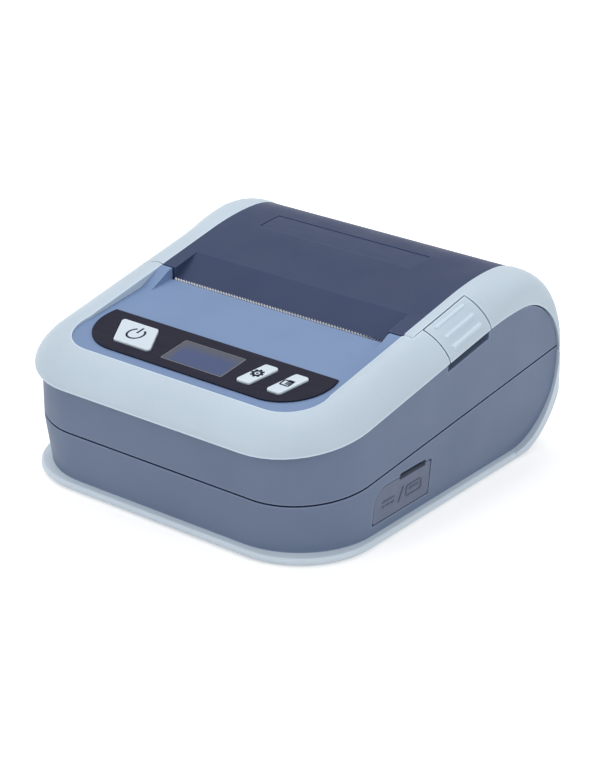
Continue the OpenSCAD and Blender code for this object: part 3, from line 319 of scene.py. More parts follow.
def film(name, base, roughness=0.22, gloss=0.25):
    """Printed film with fine specks and a few drawn-out marks."""
    speck_size, mark_size, pore_size = 0.0004, 0.006, 0.0003
    finish = Finish(name, base, roughness)
    finish.shader.inputs["Specular IOR Level"].default_value = gloss
    finish.blend(finish.ramp(finish.noise(speck_size, 2), 0.6, 0.8, 0.0, 0.3), shade(base, 1.2))
    finish.rough(finish.noise(mark_size, 5, (1, 6, 1)), roughness - 0.04, roughness + 0.1)
    finish.bump(finish.noise(pore_size, 2), 0.002 * MM, 0.4)
    return finish.material


def soft_rubber(name, base, roughness=0.62, sheen=0.12):
    """Moulded rubber: matt, a little dusty, fine even grain."""
    dust_size, rub_size, grain_size = 0.004, 0.003, 0.00014
    finish = Finish(name, base, roughness)
    finish.shader.inputs["Specular IOR Level"].default_value = 0.2
    finish.shader.inputs["Sheen Weight"].default_value = sheen
    finish.shader.inputs["Sheen Roughness"].default_value = 0.5
    finish.blend(finish.ramp(finish.noise(dust_size, 5), 0.5, 0.75, 0.0, 0.5), shade(base, 1.18))
    finish.rough(finish.noise(rub_size, 4), roughness - 0.08, roughness + 0.1)
    finish.bump(finish.noise(grain_size, 2), 0.008 * MM, 0.6)
    return finish.material


def metal(name, base, roughness, stretch=(1, 1, 1), size=0.0006):
    """Bare or plated metal with a rolled, turned or brushed grain."""
    tarnish_size = 0.008
    finish = Finish(name, base, roughness, metallic=1.0)
    finish.blend(finish.ramp(finish.noise(tarnish_size, 4), 0.45, 0.75, 0.0, 0.6), shade(base, 0.82))
    finish.rough(finish.noise(size, 4, stretch), roughness - 0.06, roughness + 0.12)
    finish.bump(finish.noise(size, 3, stretch), 0.003 * MM, 0.5)
    return finish.material


def circuit_board(name, base):
    """Solder mask over copper tracks, with a woven glass ground."""
    thread, track_pitch = 0.0012, 0.004
    finish = Finish(name, base, 0.32)
    finish.shader.inputs["Coat Weight"].default_value = 0.25
    weave = finish.add("ShaderNodeTexWave", Scale=1 / thread, bands_direction="X")
    finish.link(finish.place(), weave.inputs["Vector"])
    tracks = finish.add("ShaderNodeTexBrick", Scale=1 / track_pitch)
    tracks.inputs["Mortar Size"].default_value = 0.035
    finish.link(finish.place(), tracks.inputs["Vector"])
    finish.blend(finish.ramp(weave.outputs["Fac"], 0.0, 1.0, 0.0, 0.18), shade(base, 1.5))
    finish.blend(tracks.outputs["Fac"], shade(base, 2.2))
    finish.bump(tracks.outputs["Fac"], 0.03 * MM, 0.6)
    return finish.material


def shrink_wrap(name, base):
    """Heat shrunk film of the battery pack, with soft creases."""
    sheen_size, crease_size = 0.009, 0.005
    finish = Finish(name, base, 0.28)
    finish.shader.inputs["Coat Weight"].default_value = 0.3
    # painted sheen: lighter patches where the noise is high
    finish.blend(finish.ramp(finish.noise(sheen_size, 4), 0.45, 0.7, 0.0, 0.5), shade(base, 1.25))
    finish.bump(finish.noise(crease_size, 4, (1, 3, 1)), 0.12 * MM, 0.7)
    return finish.material


def display_glass(name, base, low, high):
    """Unlit display: bluish middle, greyer towards its edges, under a glossy window."""
    finish = Finish(name, base, 0.16)
    finish.shader.inputs["Specular IOR Level"].default_value = 0.12
    split = finish.add("ShaderNodeSeparateXYZ")
    finish.link(finish.place(), split.inputs["Vector"])
    border = (0.098, 0.104, 0.125)
    margin = 1.3 * MM
    dot_pitch = 0.0009
    for axis, edge, start, full, strength in (
        # the grey starts and is full at these margins from the window's left, right, rear and front edge
        ("X", low.x, 2.6, 0.8, 0.9),
        ("X", high.x, -1.0, -0.2, 0.7),
        ("Y", high.y, -3.8, -1.0, 0.9),
        ("Y", low.y, 0.7, 0.1, 0.6),
    ):
        grey = finish.ramp(split.outputs[axis], edge + margin * start, edge + margin * full, 0.0, strength)
        finish.blend(grey, border)
    dots = finish.add("ShaderNodeTexBrick", Scale=1 / dot_pitch, offset=0.0)
    dots.inputs["Mortar Size"].default_value = 0.06
    finish.link(finish.place(), dots.inputs["Vector"])
    finish.blend(finish.ramp(dots.outputs["Fac"], 0.0, 1.0, 0.0, 0.12), shade(base, 0.7))
    return finish.material


FINISHES = {}


def finish_of(name):
    """The material of that name, made when it is first asked for."""
    if name in FINISHES:
        return FINISHES[name]
    c = colours()
    low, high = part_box("lcd_window")
    makers = {
        # edges= below sets each moulding's painted edge highlight
        "trim": lambda: moulded("pale_satin", c.trim, 0.42, edges=0.25),
        "base": lambda: moulded("pale_base", c.base, 0.44, edges=0.1),
        "housing": lambda: moulded("blue_grey_satin", c.housing, 0.48, edges=0.45),
        "deck": lambda: moulded("deck_blue_satin", c.deck, 0.46, gloss=0.2, edges=0.12),
        "cover": lambda: moulded("slate_satin", c.cover, 0.46, gloss=0.1, edges=0.45),
        "window": lambda: film("smoky_window", shade(c.cover, 1.02), 0.42, 0.1),
        "overlay": lambda: film("dark_film", c.overlay, 0.45, 0.05),
        "rim": lambda: film("display_rim", (0.165, 0.17, 0.2), 0.4),
        # painted shade: the finish of the dark strips set into the seams
        "seam": lambda: soft_rubber("seam_shade_paint", c.seam, 0.7, 0.0),
        "key": lambda: moulded("key_cap", c.key, 0.4, 0.7, 0.003, edges=0.1),
        "ink": lambda: film("ink", c.ink, 0.5, 0.05),
        "display": lambda: display_glass("display", c.display, low, high),
        "port_rubber": lambda: soft_rubber("port_rubber", c.rubber),
        # painted shade: the raised port symbols are painted darker than the rubber they are moulded in
        "port_relief_shade": lambda: soft_rubber("port_relief_shade", shade(c.rubber, 0.72)),
        "foot_rubber": lambda: soft_rubber("foot_rubber", (0.012, 0.012, 0.013)),
        "platen_rubber": lambda: soft_rubber("platen_rubber", (0.016, 0.016, 0.018), 0.5),
        "black": lambda: moulded("black_moulding", (0.016, 0.016, 0.018), 0.45),
        "plated": lambda: metal("zinc_plate", (0.55, 0.56, 0.58), 0.3, (1, 1, 1), 0.0012),
        "tool_steel": lambda: metal("ground_steel", (0.66, 0.67, 0.69), 0.22, (1, 1, 12), 0.0004),
        "extrusion": lambda: metal("drawn_aluminium", (0.7, 0.71, 0.73), 0.34, (0.05, 1, 1), 0.0004),
        "turned": lambda: metal("turned_steel", (0.6, 0.61, 0.63), 0.25, (8, 1, 1), 0.0005),
        "brass": lambda: metal("brass", (0.62, 0.44, 0.16), 0.28),
        "gold": lambda: metal("gold_flash", (0.78, 0.56, 0.2), 0.24),
        "ceramic": lambda: film("glazed_ceramic", (0.78, 0.77, 0.72), 0.18),
        "acetal": lambda: moulded("acetal", (0.74, 0.73, 0.67), 0.4, 0.6, 0.003),
        "board": lambda: circuit_board("solder_mask", (0.012, 0.085, 0.04)),
        "wrap": lambda: shrink_wrap("battery_wrap", (0.022, 0.04, 0.095)),
    }
    FINISHES[name] = makers[name]()
    return FINISHES[name]


# ---- meshes ----

def copy_of(node):
    """A welded copy of a node's solid."""
    mesh = bmesh.new()
    mesh.from_mesh(NODES[node].data)
    bmesh.ops.remove_doubles(mesh, verts=mesh.verts, dist=WELD)
    bmesh.ops.dissolve_limit(mesh, angle_limit=FLAT, verts=mesh.verts, edges=mesh.edges)
    return mesh


def make_object(name, mesh, finish):
    """Turns a bmesh into an object with one finish."""
    data = bpy.data.meshes.new(name)
    mesh.to_mesh(data)
    mesh.free()
    normals = data.attributes.get("custom_normal")
    if normals:
        data.attributes.remove(normals)
    for polygon in data.polygons:
        polygon.material_index = 0
    piece = bpy.data.objects.new(name, data)
    bpy.context.scene.collection.objects.link(piece)
    data.materials.append(finish_of(finish))
    return piece


def round_edges(piece, width, segments=2):
    """Rounds every sharp edge, as a mould or a tumbler leaves it."""
    bevel = piece.modifiers.new("edges", "BEVEL")
    bevel.width = width
    bevel.segments = segments
    bevel.limit_method = "ANGLE"
    bevel.angle_limit = SHARP
    bevel.harden_normals = True
    bevel.use_clamp_overlap = True


def dress(node, finish, width, segments=2):
    """Stands a copy of a node's solid in its place, welded, with rounded edges and a finish."""
    piece = make_object(node + "_dressed", copy_of(node), finish)
    for polygon in piece.data.polygons:
        polygon.use_smooth = True
    piece.data.set_sharp_from_angle(angle=SHARP)
    round_edges(piece, width, segments)
    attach(piece, NODES[node]["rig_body"])
    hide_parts(node)


def about(centre, scale, shift=(0, 0, 0)):
    """Scales about a point and then shifts."""
    return (Matrix.Translation(Vector(centre) + Vector(shift)) @ Matrix.Diagonal((*scale, 1))
            @ Matrix.Translation(-Vector(centre)))


def lean_back(rise, front):
    """Shears a level shape so that it climbs towards the rear from the given depth."""
    shear = Matrix.Identity(4)
    shear[2][1], shear[2][3] = rise, -rise * front
    return shear


def extrude_flat(mesh, thickness):
    """Gives level faces that thickness upwards."""
    moved = bmesh.ops.extrude_face_region(mesh, geom=mesh.faces[:])["geom"]
    verts = [g for g in moved if isinstance(g, bmesh.types.BMVert)]
    bmesh.ops.translate(mesh, verts=verts, vec=(0, 0, thickness))
    bmesh.ops.recalc_face_normals(mesh, faces=mesh.faces[:])


def add_bar(mesh, x, y, length_x, length_y, turn=0.0):
    """A flat rectangle centred at x, y."""
    place = Matrix.Translation((x, y, 0)) @ Matrix.Rotation(turn, 4, "Z")
    shape = Matrix.Diagonal((length_x, length_y, 1, 1))
    bmesh.ops.create_grid(mesh, x_segments=1, y_segments=1, size=0.5, matrix=place @ shape)


def add_arc(mesh, radius, stroke, start, sweep, steps=40, centre=(0, 0)):
    """A flat ring or part of one, spun from a short edge."""
    c, s = math.cos(start), math.sin(start)
    inner, outer = radius - stroke / 2, radius + stroke / 2
    verts = [mesh.verts.new((centre[0] + r * c, centre[1] + r * s, 0)) for r in (inner, outer)]
    edge = mesh.edges.new(verts)
    full = math.isclose(sweep, 2 * math.pi)
    bmesh.ops.spin(mesh, geom=[*verts, edge], cent=(*centre, 0), axis=(0, 0, 1), dvec=(0, 0, 0), angle=sweep,
                   steps=steps, use_merge=full)


def add_frame(mesh, x, y, width, height, corner, stroke):
    """A flat outline with round corners, from four bars and four quarter rings."""
    corner_steps = 8
    for side in (-1, 1):
        add_bar(mesh, x + side * (width - stroke) / 2, y, stroke, height - 2 * corner)
        add_bar(mesh, x, y + side * (height - stroke) / 2, width - 2 * corner, stroke)
        for end in (-1, 1):
            start = math.atan2(end, side) - math.pi / 4
            add_arc(mesh, corner - stroke / 2, stroke, start, math.pi / 2, corner_steps,
                    (x + side * (width / 2 - corner), y + end * (height / 2 - corner)))


def matrix_of(*columns):
    """A matrix from the directions of its three axes and its origin."""
    matrix = Matrix.Identity(4)
    for i, column in enumerate(columns):
        matrix[0][i], matrix[1][i], matrix[2][i] = column
    return matrix


def cap_matrix(node):
    """Places a flat symbol on the middle of a key's cap, its Y up the deck and its Z along the deck's normal."""
    normal = -KEY_AXIS.normalized()
    across = Vector((1, 0, 0))
    up = normal.cross(across)
    points = [v.co for v in NODES[node].data.vertices]
    top = max(p.dot(normal) for p in points)
    cap = [p for p in points if p.dot(normal) > top - CAP_DEPTH]
    middle = [(min(p.dot(d) for p in cap) + max(p.dot(d) for p in cap)) / 2 for d in (across, up)]
    return matrix_of(across, up, normal, across * middle[0] + up * middle[1] + normal * top)


def lay_symbol(mesh, name, matrix, thickness, finish, body, edge=0.0):
    """Thickens a flat symbol, sinks half of it into its surface and makes it ride."""
    bmesh.ops.remove_doubles(mesh, verts=mesh.verts, dist=TOUCH)
    extrude_flat(mesh, thickness)
    bmesh.ops.translate(mesh, verts=mesh.verts, vec=(0, 0, -0.5 * thickness))
    mesh.transform(matrix)
    bmesh.ops.recalc_face_normals(mesh, faces=mesh.faces[:])
    piece = make_object(name, mesh, finish)
    if edge:
        round_edges(piece, edge)
    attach(piece, body)


class PRINTER_OT_shells(bpy.types.Operator):
    """Rounds and finishes the outer mouldings"""

    bl_idname = "printer.shells"
    bl_label = "Outer Shells"

    def execute(self, context):
        edge = sizes().shell_edge
        dress("base_tray", "base", edge)
        dress("lower_housing", "housing", edge * 0.6)
        dress("upper_housing", "housing", edge * 0.6)
        dress("top_bezel", "trim", edge)
        dress("front_deck", "deck", edge * 0.5)
        dress("cover_shell", "cover", edge)
        dress("cover_window", "window", edge * 0.9)
        dress("rail_left", "trim", edge)
        dress("rail_right", "trim", edge)
        dress("battery_door", "base", edge * 0.8)
        return {"FINISHED"}


class PRINTER_OT_controls(bpy.types.Operator):
    """Makes the overlay, display, keys with their symbols and the release key"""

    bl_idname = "printer.controls"
    bl_label = "Controls"

    def execute(self, context):
        s = sizes()
        dress("key_overlay", "overlay", 0.12 * MM)
        dress("lcd_window", "display", 0.1 * MM)
        for node in ("power_key", "settings_key", "feed_key"):
            dress(node, "key", s.key_edge, 3)
        dress("release_key", "trim", s.shell_edge * 1.5, 3)
        self.display_rim()
        self.power_symbol()
        self.settings_symbol()
        self.feed_symbol()
        return {"FINISHED"}

    def display_rim(self):
        """Thin edge where the display's window is let into the film."""
        overlap, corner, stroke, thickness = 0.1 * MM, 0.5 * MM, 0.28 * MM, 0.12 * MM
        mesh = bmesh.new()
        matrix = cap_matrix("lcd_window")
        flat = matrix.inverted()
        points = [flat @ v.co for v in NODES["lcd_window"].data.vertices]
        width = 2 * max(p.x for p in points)
        height = 2 * max(p.y for p in points if p.z > -CAP_DEPTH)
        add_frame(mesh, 0, 0, width + overlap, height + overlap, corner, stroke)
        lay_symbol(mesh, "display_rim", matrix, thickness, "rim", "root")

    def power_symbol(self):
        """A ring that is open at its top, with a bar in the opening."""
        s = sizes()
        mesh = bmesh.new()
        opening = math.radians(62)
        bar_middle, bar_length = s.power_ring * 0.72, s.power_ring * 1.15
        add_arc(mesh, s.power_ring, s.power_stroke, math.pi / 2 + opening / 2, 2 * math.pi - opening)
        add_bar(mesh, 0, bar_middle, s.power_stroke, bar_length)
        lay_symbol(mesh, "power_symbol", cap_matrix("power_key"), s.ink_t, "ink", "power")

    def settings_symbol(self):
        """A cog: a rim with teeth, and its hub."""
        s = sizes()
        mesh = bmesh.new()
        teeth = 8
        r = s.cog_radius
        add_arc(mesh, r * 0.6, r * 0.4, 0, 2 * math.pi, 32)
        reach = r * 0.86
        for i in range(teeth):
            turn = 2 * math.pi * i / teeth
            add_bar(mesh, reach * math.cos(turn), reach * math.sin(turn), r * 0.3, r * 0.38, turn)
        add_arc(mesh, r * 0.1, r * 0.19, 0, 2 * math.pi, 16)
        lay_symbol(mesh, "settings_symbol", cap_matrix("settings_key"), s.ink_t, "ink", "settings")

    def feed_symbol(self):
        """A sheet's outline with a stack of lines that stands out of its upper corner."""
        s = sizes()
        mesh = bmesh.new()
        w = s.sheet_symbol
        lines, line_pitch, top_line = 4, 0.16, 0.34
        add_frame(mesh, -0.06 * w, -0.04 * w, 0.86 * w, 0.74 * w, 0.16 * w, 0.13 * w)
        for i in range(lines):
            add_bar(mesh, 0.12 * w, (top_line - line_pitch * i) * w, 0.5 * w, 0.125 * w)
        lay_symbol(mesh, "feed_symbol", cap_matrix("feed_key"), s.ink_t, "ink", "feed")


class PRINTER_OT_port_cover(bpy.types.Operator):
    """Makes the rubber port cover with its raised supply and data symbols"""

    bl_idname = "printer.port_cover"
    bl_label = "Port Cover"

    def execute(self, context):
        cover_edge, mark_edge = 0.25 * MM, 0.06 * MM
        dress("port_cover", "port_rubber", cover_edge)
        mesh = bmesh.new()
        self.supply_symbol(mesh)
        self.divider(mesh)
        self.data_symbol(mesh)
        # the symbols take the darker rubber, painted shade for their relief
        lay_symbol(mesh, "port_symbols", self.face_matrix(), 2 * sizes().emboss, "port_relief_shade", "port_flap", mark_edge)
        return {"FINISHED"}

    def face_matrix(self):
        """Places flat symbols on the cover's leaning face, their X towards the rear and their Y up the face."""
        s = sizes()
        low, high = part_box("port_cover")
        lean = math.atan2(s.draft, s.draft_height)
        middle_z = low.z + 0.46 * (high.z - low.z)
        face_x = high.x - s.draft * (s.draft_top - middle_z) / s.draft_height
        up = Vector((math.sin(lean), 0, math.cos(lean)))
        along = Vector((0, 1, 0))
        origin = Vector((face_x, (low.y + high.y) / 2, middle_z))
        return matrix_of(along, up, along.cross(up), origin)

    def supply_symbol(self, mesh):
        """Direct current: a bar over three dashes."""
        middle, pitch, rise = -6.6, 2.1, 0.75 * MM
        stroke = sizes().emboss_stroke
        add_bar(mesh, middle * MM, rise, 5.6 * MM, stroke)
        for i in (-1, 0, 1):
            add_bar(mesh, (middle + pitch * i) * MM, -rise, 1.4 * MM, stroke)

    def divider(self, mesh):
        """Slanted stroke between the two symbols."""
        add_bar(mesh, -0.6 * MM, 0, sizes().emboss_stroke, 5.0 * MM, math.radians(-22))

    def data_symbol(self, mesh):
        """A data socket seen from its front, with its tongue."""
        middle = 5.6 * MM
        stroke = sizes().emboss_stroke
        add_frame(mesh, middle, 0, 7.6 * MM, 3.9 * MM, 1.0 * MM, stroke)
        add_bar(mesh, middle, 0.35 * MM, 4.2 * MM, stroke * 1.3)


class PRINTER_OT_seams(bpy.types.Operator):
    """Fills the seams with dark strips and a dark sheet that paint the shade in them"""

    bl_idname = "printer.seams"
    bl_label = "Seams"

    def execute(self, context):
        self.parting_shade_strip()
        self.rail_shade_strip()
        self.release_shade_surround()
        self.release_shade_skirt()
        return {"FINISHED"}

    def slice_of(self, node, point, normal):
        """The part of a node's solid on the normal's side of a plane, closed again."""
        mesh = copy_of(node)
        everything = mesh.verts[:] + mesh.edges[:] + mesh.faces[:]
        cut = bmesh.ops.bisect_plane(mesh, geom=everything, dist=TOUCH, plane_co=point, plane_no=normal,
                                     clear_inner=True)
        rim = [g for g in cut["geom_cut"] if isinstance(g, bmesh.types.BMEdge)]
        bmesh.ops.triangle_fill(mesh, edges=rim, use_beauty=True)
        bmesh.ops.recalc_face_normals(mesh, faces=mesh.faces[:])
        return mesh

    def parting_shade_strip(self):
        """A dark slice of the lower housing's rim, drawn in from the surface and lifted into the seam, where it
        paints the shade of the parting seam.
        """
        s = sizes()
        low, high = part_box("lower_housing")
        height, gap = s.seam * 0.88, 0.06 * s.seam
        mesh = self.slice_of("lower_housing", (0, low.y, s.parting_height - height), (0, -slopes().parting, 1))
        drawn_in = [1 - 2 * s.seam_depth / (high - low)[i] for i in (0, 1)]
        mesh.transform(about(((low.x + high.x) / 2, (low.y + high.y) / 2, 0), (*drawn_in, 1), (0, 0, height + gap)))
        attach(make_object("parting_shade_strip", mesh, "seam"), "root")

    def rail_shade_strip(self):
        """The front end of the left rail, drawn in and moved into the seam before the bezel, where it paints the
        seam's shade dark.
        """
        s = sizes()
        thickness, forward = 0.6 * MM, 0.6 * s.seam_fill
        low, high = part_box("rail_left")
        mesh = self.slice_of("rail_left", (0, low.y + thickness, 0), (0, -1, 0))
        ends = [[f(v.co[i] for v in mesh.verts) for f in (min, max)] for i in (0, 2)]
        centre = (sum(ends[0]) / 2, low.y, sum(ends[1]) / 2)
        drawn_in = [1 - 2 * s.seam_depth / (end[1] - end[0]) for end in ends]
        mesh.transform(about(centre, (drawn_in[0], 1, drawn_in[1]), (0, -forward, 0)))
        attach(make_object("rail_shade_strip", mesh, "seam"), NODES["rail_left"]["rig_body"])

    def release_shade_surround(self):
        """The release key's upper part without its ribs, sunk a little and grown into the seam round it, where it
        paints the seam's shade dark.
        """
        s = sizes()
        low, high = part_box("release_key")
        rise = slopes().edge
        depth = high.y - low.y
        cap_width = 9.6 * MM  # across the rail, where the slice starts
        foot = s.edge_height + 2.1 * MM
        mesh = self.slice_of("release_key", (0, low.y, foot), (0, -rise, 1))
        # the cap's own points lie on five sections; all others above the slice's foot belong to ribs
        sections = [low.y + depth * i / 4 for i in range(5)]
        rib_foot, on_section = 0.7 * MM, 0.05 * MM
        ribs = [v for v in mesh.verts if v.co.z > foot + rise * (v.co.y - low.y) + rib_foot
                and all(abs(v.co.y - y) > on_section for y in sections)]
        bmesh.ops.translate(mesh, verts=ribs, vec=(-0.45 * MM, 0, -0.6 * MM))
        sink = 2 * s.seam_depth
        grown = (1 + (s.seam_fill - sink) / cap_width, 1 + 2 * s.seam_fill / depth, 1)
        mesh.transform(about((high.x, (low.y + high.y) / 2, 0), grown, (-sink, 0, -sink)))
        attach(make_object("release_shade_surround", mesh, "seam"), "release")

    def release_shade_skirt(self):
        """Dark skirt under the release key: painted shade seen through the finger slot."""
        inset, end_gap, thickness, height, drop = 3.6 * MM, 0.4 * MM, 0.5 * MM, 3.6 * MM, 1.4 * MM
        low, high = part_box("release_key")
        mesh = bmesh.new()
        place = Matrix.Translation((high.x - inset, (low.y + high.y) / 2, 0))
        shape = Matrix.Diagonal((thickness, high.y - low.y - end_gap, height, 1))
        bmesh.ops.create_cube(mesh, size=1, matrix=place @ shape)
        mesh.transform(lean_back(slopes().edge, low.y))
        bmesh.ops.translate(mesh, verts=mesh.verts, vec=(0, 0, sizes().edge_height - drop))
        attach(make_object("release_shade_skirt", mesh, "seam"), "release")


class PRINTER_OT_mechanism(bpy.types.Operator):
    """Finishes the printing mechanism, its gears and the paper bin"""

    bl_idname = "printer.mechanism"
    bl_label = "Mechanism"

    def execute(self, context):
        edge = sizes().sheet_edge
        looks = {
            "head_heatsink": ("extrusion", edge, "aluminium"),
            "head_ceramic": ("ceramic", edge, "ceramic"),
            "chassis": ("plated", edge, "steel"),
            "stepper_motor": ("plated", edge * 2, "steel"),
            "platen_carrier": ("cover", edge * 2, "cover_navy_abs"),
            "platen_bushings": ("acetal", edge * 2, "acetal"),
            "platen_roller": ("platen_rubber", edge * 2, "platen_rubber"),
            "platen_shaft": ("turned", edge * 2, "steel"),
            "platen_gear": ("acetal", edge, "acetal"),
            "idler_gear": ("acetal", edge, "acetal"),
            "motor_pinion": ("brass", edge, "brass"),
            "paper_bin": ("cover", edge * 3, "cover_navy_abs"),
            "paper_sensor": ("black", edge * 2, "inner_black"),
            "guide_left": ("acetal", edge * 2, "acetal"),
            "guide_right": ("acetal", edge * 2, "acetal"),
            "guide_pinion": ("acetal", edge, "acetal"),
            "hinge_pin": ("turned", edge * 2, "steel"),
            "release_plunger": ("plated", edge, "steel"),
            "chassis_screws": ("plated", edge * 2, "steel"),
            "base_screws": ("plated", edge * 2, "steel"),
        }
        for node, (finish, width, slot) in looks.items():
            dress(node, finish, width)
        self.tear_bar()
        return {"FINISHED"}

    def tear_bar(self):
        """Steel strip with a fine saw edge, from a row of cells whose upper corners are lowered in turn."""
        s = sizes()
        low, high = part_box("tear_bar")
        teeth = round((high.x - low.x) / s.tooth)
        mesh = bmesh.new()
        middle = (low + high) / 2
        upright = Matrix.Translation((middle.x, high.y, middle.z)) @ Matrix.Rotation(math.pi / 2, 4, "X")
        shape = Matrix.Diagonal((high.x - low.x, high.z - low.z, 1, 1))
        bmesh.ops.create_grid(mesh, x_segments=2 * teeth, y_segments=1, size=0.5, matrix=upright @ shape)
        upper = sorted((v for v in mesh.verts if v.co.z > middle.z), key=lambda v: v.co.x)
        bmesh.ops.translate(mesh, verts=upper[::2], vec=(0, 0, -s.tooth_depth))
        plate = bmesh.ops.extrude_face_region(mesh, geom=mesh.faces[:])["geom"]
        moved = [g for g in plate if isinstance(g, bmesh.types.BMVert)]
        bmesh.ops.translate(mesh, verts=moved, vec=(0, low.y - high.y, 0))
        bmesh.ops.recalc_face_normals(mesh, faces=mesh.faces[:])
        piece = make_object("tear_bar_toothed", mesh, "tool_steel")
        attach(piece, NODES["tear_bar"]["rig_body"])
        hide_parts("tear_bar")


class PRINTER_OT_electronics(bpy.types.Operator):
    """Finishes the boards, sockets and battery"""

    bl_idname = "printer.electronics"
    bl_label = "Electronics"

    def execute(self, context):
        edge = sizes().sheet_edge
        looks = {
            "panel_board": ("board", edge, "board_green"),
            "main_board": ("board", edge, "board_green"),
            "port_board": ("board", edge, "board_green"),
            "key_switches": ("black", edge, "inner_black"),
            "lcd_module": ("black", edge * 2, "inner_black"),
            "dc_jack": ("black", edge * 2, "inner_black"),
            "usb_socket": ("plated", edge, "steel"),
            "battery_pack": ("wrap", edge * 10, "battery_wrap"),
            "battery_contacts": ("gold", edge, "brass"),
            "rubber_feet": ("foot_rubber", edge * 4, "foot_rubber"),
        }
        for node, (finish, width, slot) in looks.items():
            dress(node, finish, width, 3)
        return {"FINISHED"}


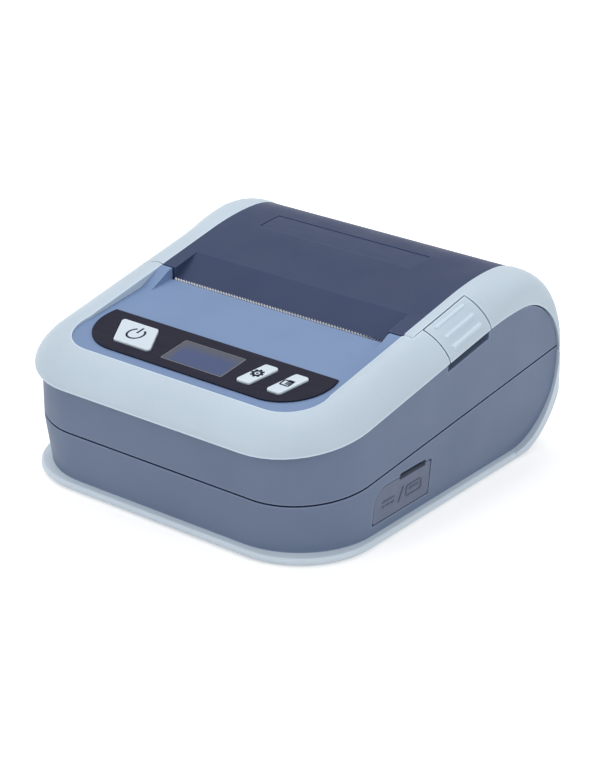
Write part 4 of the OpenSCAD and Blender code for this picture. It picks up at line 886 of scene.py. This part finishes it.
class PRINTER_OT_stage(bpy.types.Operator):
    """Sets the pale floor, the soft lamps and the camera"""

    bl_idname = "printer.stage"
    bl_label = "Stage"

    def execute(self, context):
        self.floor()
        self.sky()
        self.lamps()
        self.camera()
        context.scene.view_settings.view_transform = "Standard"
        return {"FINISHED"}

    def seen_directly(self, tree):
        """1 for rays that show the background itself, in view or by reflection."""
        path = tree.nodes.new("ShaderNodeLightPath")
        seen = path.outputs["Is Camera Ray"]
        for kind in ("Is Glossy Ray", "Is Transmission Ray"):
            either = tree.nodes.new("ShaderNodeMath")
            either.operation = "MAXIMUM"
            tree.links.new(seen, either.inputs[0])
            tree.links.new(path.outputs[kind], either.inputs[1])
            seen = either.outputs[0]
        return seen

    def floor(self):
        """A matt pale floor that turns white away from the printer, where no shadow falls."""
        half_width = 4.0
        mesh = bmesh.new()
        bmesh.ops.create_grid(mesh, x_segments=1, y_segments=1, size=half_width)
        data = bpy.data.meshes.new("floor")
        mesh.to_mesh(data)
        mesh.free()
        floor = bpy.data.objects.new("floor", data)
        bpy.context.scene.collection.objects.link(floor)
        material = bpy.data.materials.new("floor_white")
        material.use_nodes = True
        tree = material.node_tree
        shader = tree.nodes["Principled BSDF"]
        shader.inputs["Base Color"].default_value = (0.9, 0.9, 0.9, 1)
        shader.inputs["Roughness"].default_value = 0.9
        shader.inputs["Specular IOR Level"].default_value = 0.0
        place = tree.nodes.new("ShaderNodeTexCoord")
        reach = tree.nodes.new("ShaderNodeVectorMath")
        reach.operation = "LENGTH"
        tree.links.new(place.outputs["Object"], reach.inputs[0])
        fade = tree.nodes.new("ShaderNodeMapRange")
        near, far, near_lift, far_lift = 0.15, 0.6, 0.4, 0.9
        for name, limit in (("From Min", near), ("From Max", far), ("To Min", near_lift), ("To Max", far_lift)):
            fade.inputs[name].default_value = limit
        tree.links.new(reach.outputs["Value"], fade.inputs["Value"])
        lift = tree.nodes.new("ShaderNodeMath")
        lift.operation = "MULTIPLY"
        tree.links.new(fade.outputs["Result"], lift.inputs[1])
        tree.links.new(self.seen_directly(tree), lift.inputs[0])
        shader.inputs["Emission Color"].default_value = (1, 1, 1, 1)
        tree.links.new(lift.outputs[0], shader.inputs["Emission Strength"])
        data.materials.append(material)

    def sky(self):
        """Even light, behind which the background shows white."""
        world = bpy.data.worlds.new("studio")
        bpy.context.scene.world = world
        world.use_nodes = True
        tree = world.node_tree
        background = tree.nodes["Background"]
        strength = tree.nodes.new("ShaderNodeMapRange")
        strength.inputs["To Min"].default_value = bpy.context.scene.printer_stage.sky
        strength.inputs["To Max"].default_value = 1.0
        tree.links.new(self.seen_directly(tree), strength.inputs["Value"])
        background.inputs["Color"].default_value = (1, 1, 1, 1)
        tree.links.new(strength.outputs["Result"], background.inputs["Strength"])

    def lamps(self):
        """Soft square lamps, each with its place, its width and its share of the main lamp's power."""
        target = Vector((0, 0, 0.03))
        for name, place, width, share in (
            ("lamp_top", (-0.25, 0.15, 0.9), 0.8, 1.0),
            ("lamp_right", (0.85, -0.1, 0.45), 0.7, 0.55),
            ("lamp_front", (-0.35, -0.8, 0.45), 0.7, 0.5),
        ):
            data = bpy.data.lights.new(name, "AREA")
            data.energy = bpy.context.scene.printer_stage.key_light * share
            data.size = width
            lamp = bpy.data.objects.new(name, data)
            bpy.context.scene.collection.objects.link(lamp)
            lamp.location = place
            lamp.rotation_euler = (Vector(place) - target).to_track_quat("Z", "Y").to_euler()

    def camera(self):
        """The photograph's viewing angle."""
        stage = bpy.context.scene.printer_stage
        a, e = stage.azimuth, stage.elevation
        back = Vector((math.sin(a) * math.cos(e), -math.cos(a) * math.cos(e), math.sin(e)))
        data = bpy.data.cameras.new("camera")
        data.lens = stage.lens
        data.sensor_width = 36.0
        data.clip_start = 0.01
        camera = bpy.data.objects.new("camera", data)
        bpy.context.scene.collection.objects.link(camera)
        camera.location = Vector(stage.aim) + back * stage.distance
        camera.rotation_euler = back.to_track_quat("Z", "Y").to_euler()
        bpy.context.scene.camera = camera


class PRINTER_PT_panel(bpy.types.Panel):
    """Sidebar panel with the printer's operators and settings"""

    bl_idname = "PRINTER_PT_panel"
    bl_label = "Portable Printer"
    bl_space_type = "VIEW_3D"
    bl_region_type = "UI"
    bl_category = "Printer"

    def draw(self, context):
        layout = self.layout
        for operator in OPERATORS:
            layout.operator(operator.bl_idname)
        for name, kind in GROUPS.items():
            box = layout.box()
            for setting in kind.__annotations__:
                box.prop(getattr(context.scene, name), setting)


OPERATORS = (
    PRINTER_OT_stage,
    PRINTER_OT_shells,
    PRINTER_OT_controls,
    PRINTER_OT_port_cover,
    PRINTER_OT_seams,
    PRINTER_OT_mechanism,
    PRINTER_OT_electronics,
)
GROUPS = {
    "printer_colours": PrinterColours,
    "printer_sizes": PrinterSizes,
    "printer_slopes": PrinterSlopes,
    "printer_stage": PrinterStage,
}
CLASSES = (*GROUPS.values(), *OPERATORS, PRINTER_PT_panel)


def register():
    for cls in CLASSES:
        bpy.utils.register_class(cls)
    for name, kind in GROUPS.items():
        setattr(bpy.types.Scene, name, bpy.props.PointerProperty(type=kind))


def unregister():
    for name in GROUPS:
        delattr(bpy.types.Scene, name)
    for cls in reversed(CLASSES):
        bpy.utils.unregister_class(cls)


def main():
    register()
    for operator in OPERATORS:
        name = operator.bl_idname.removeprefix("printer.")
        getattr(bpy.ops.printer, name)()


if __name__ == "__main__":
    main()
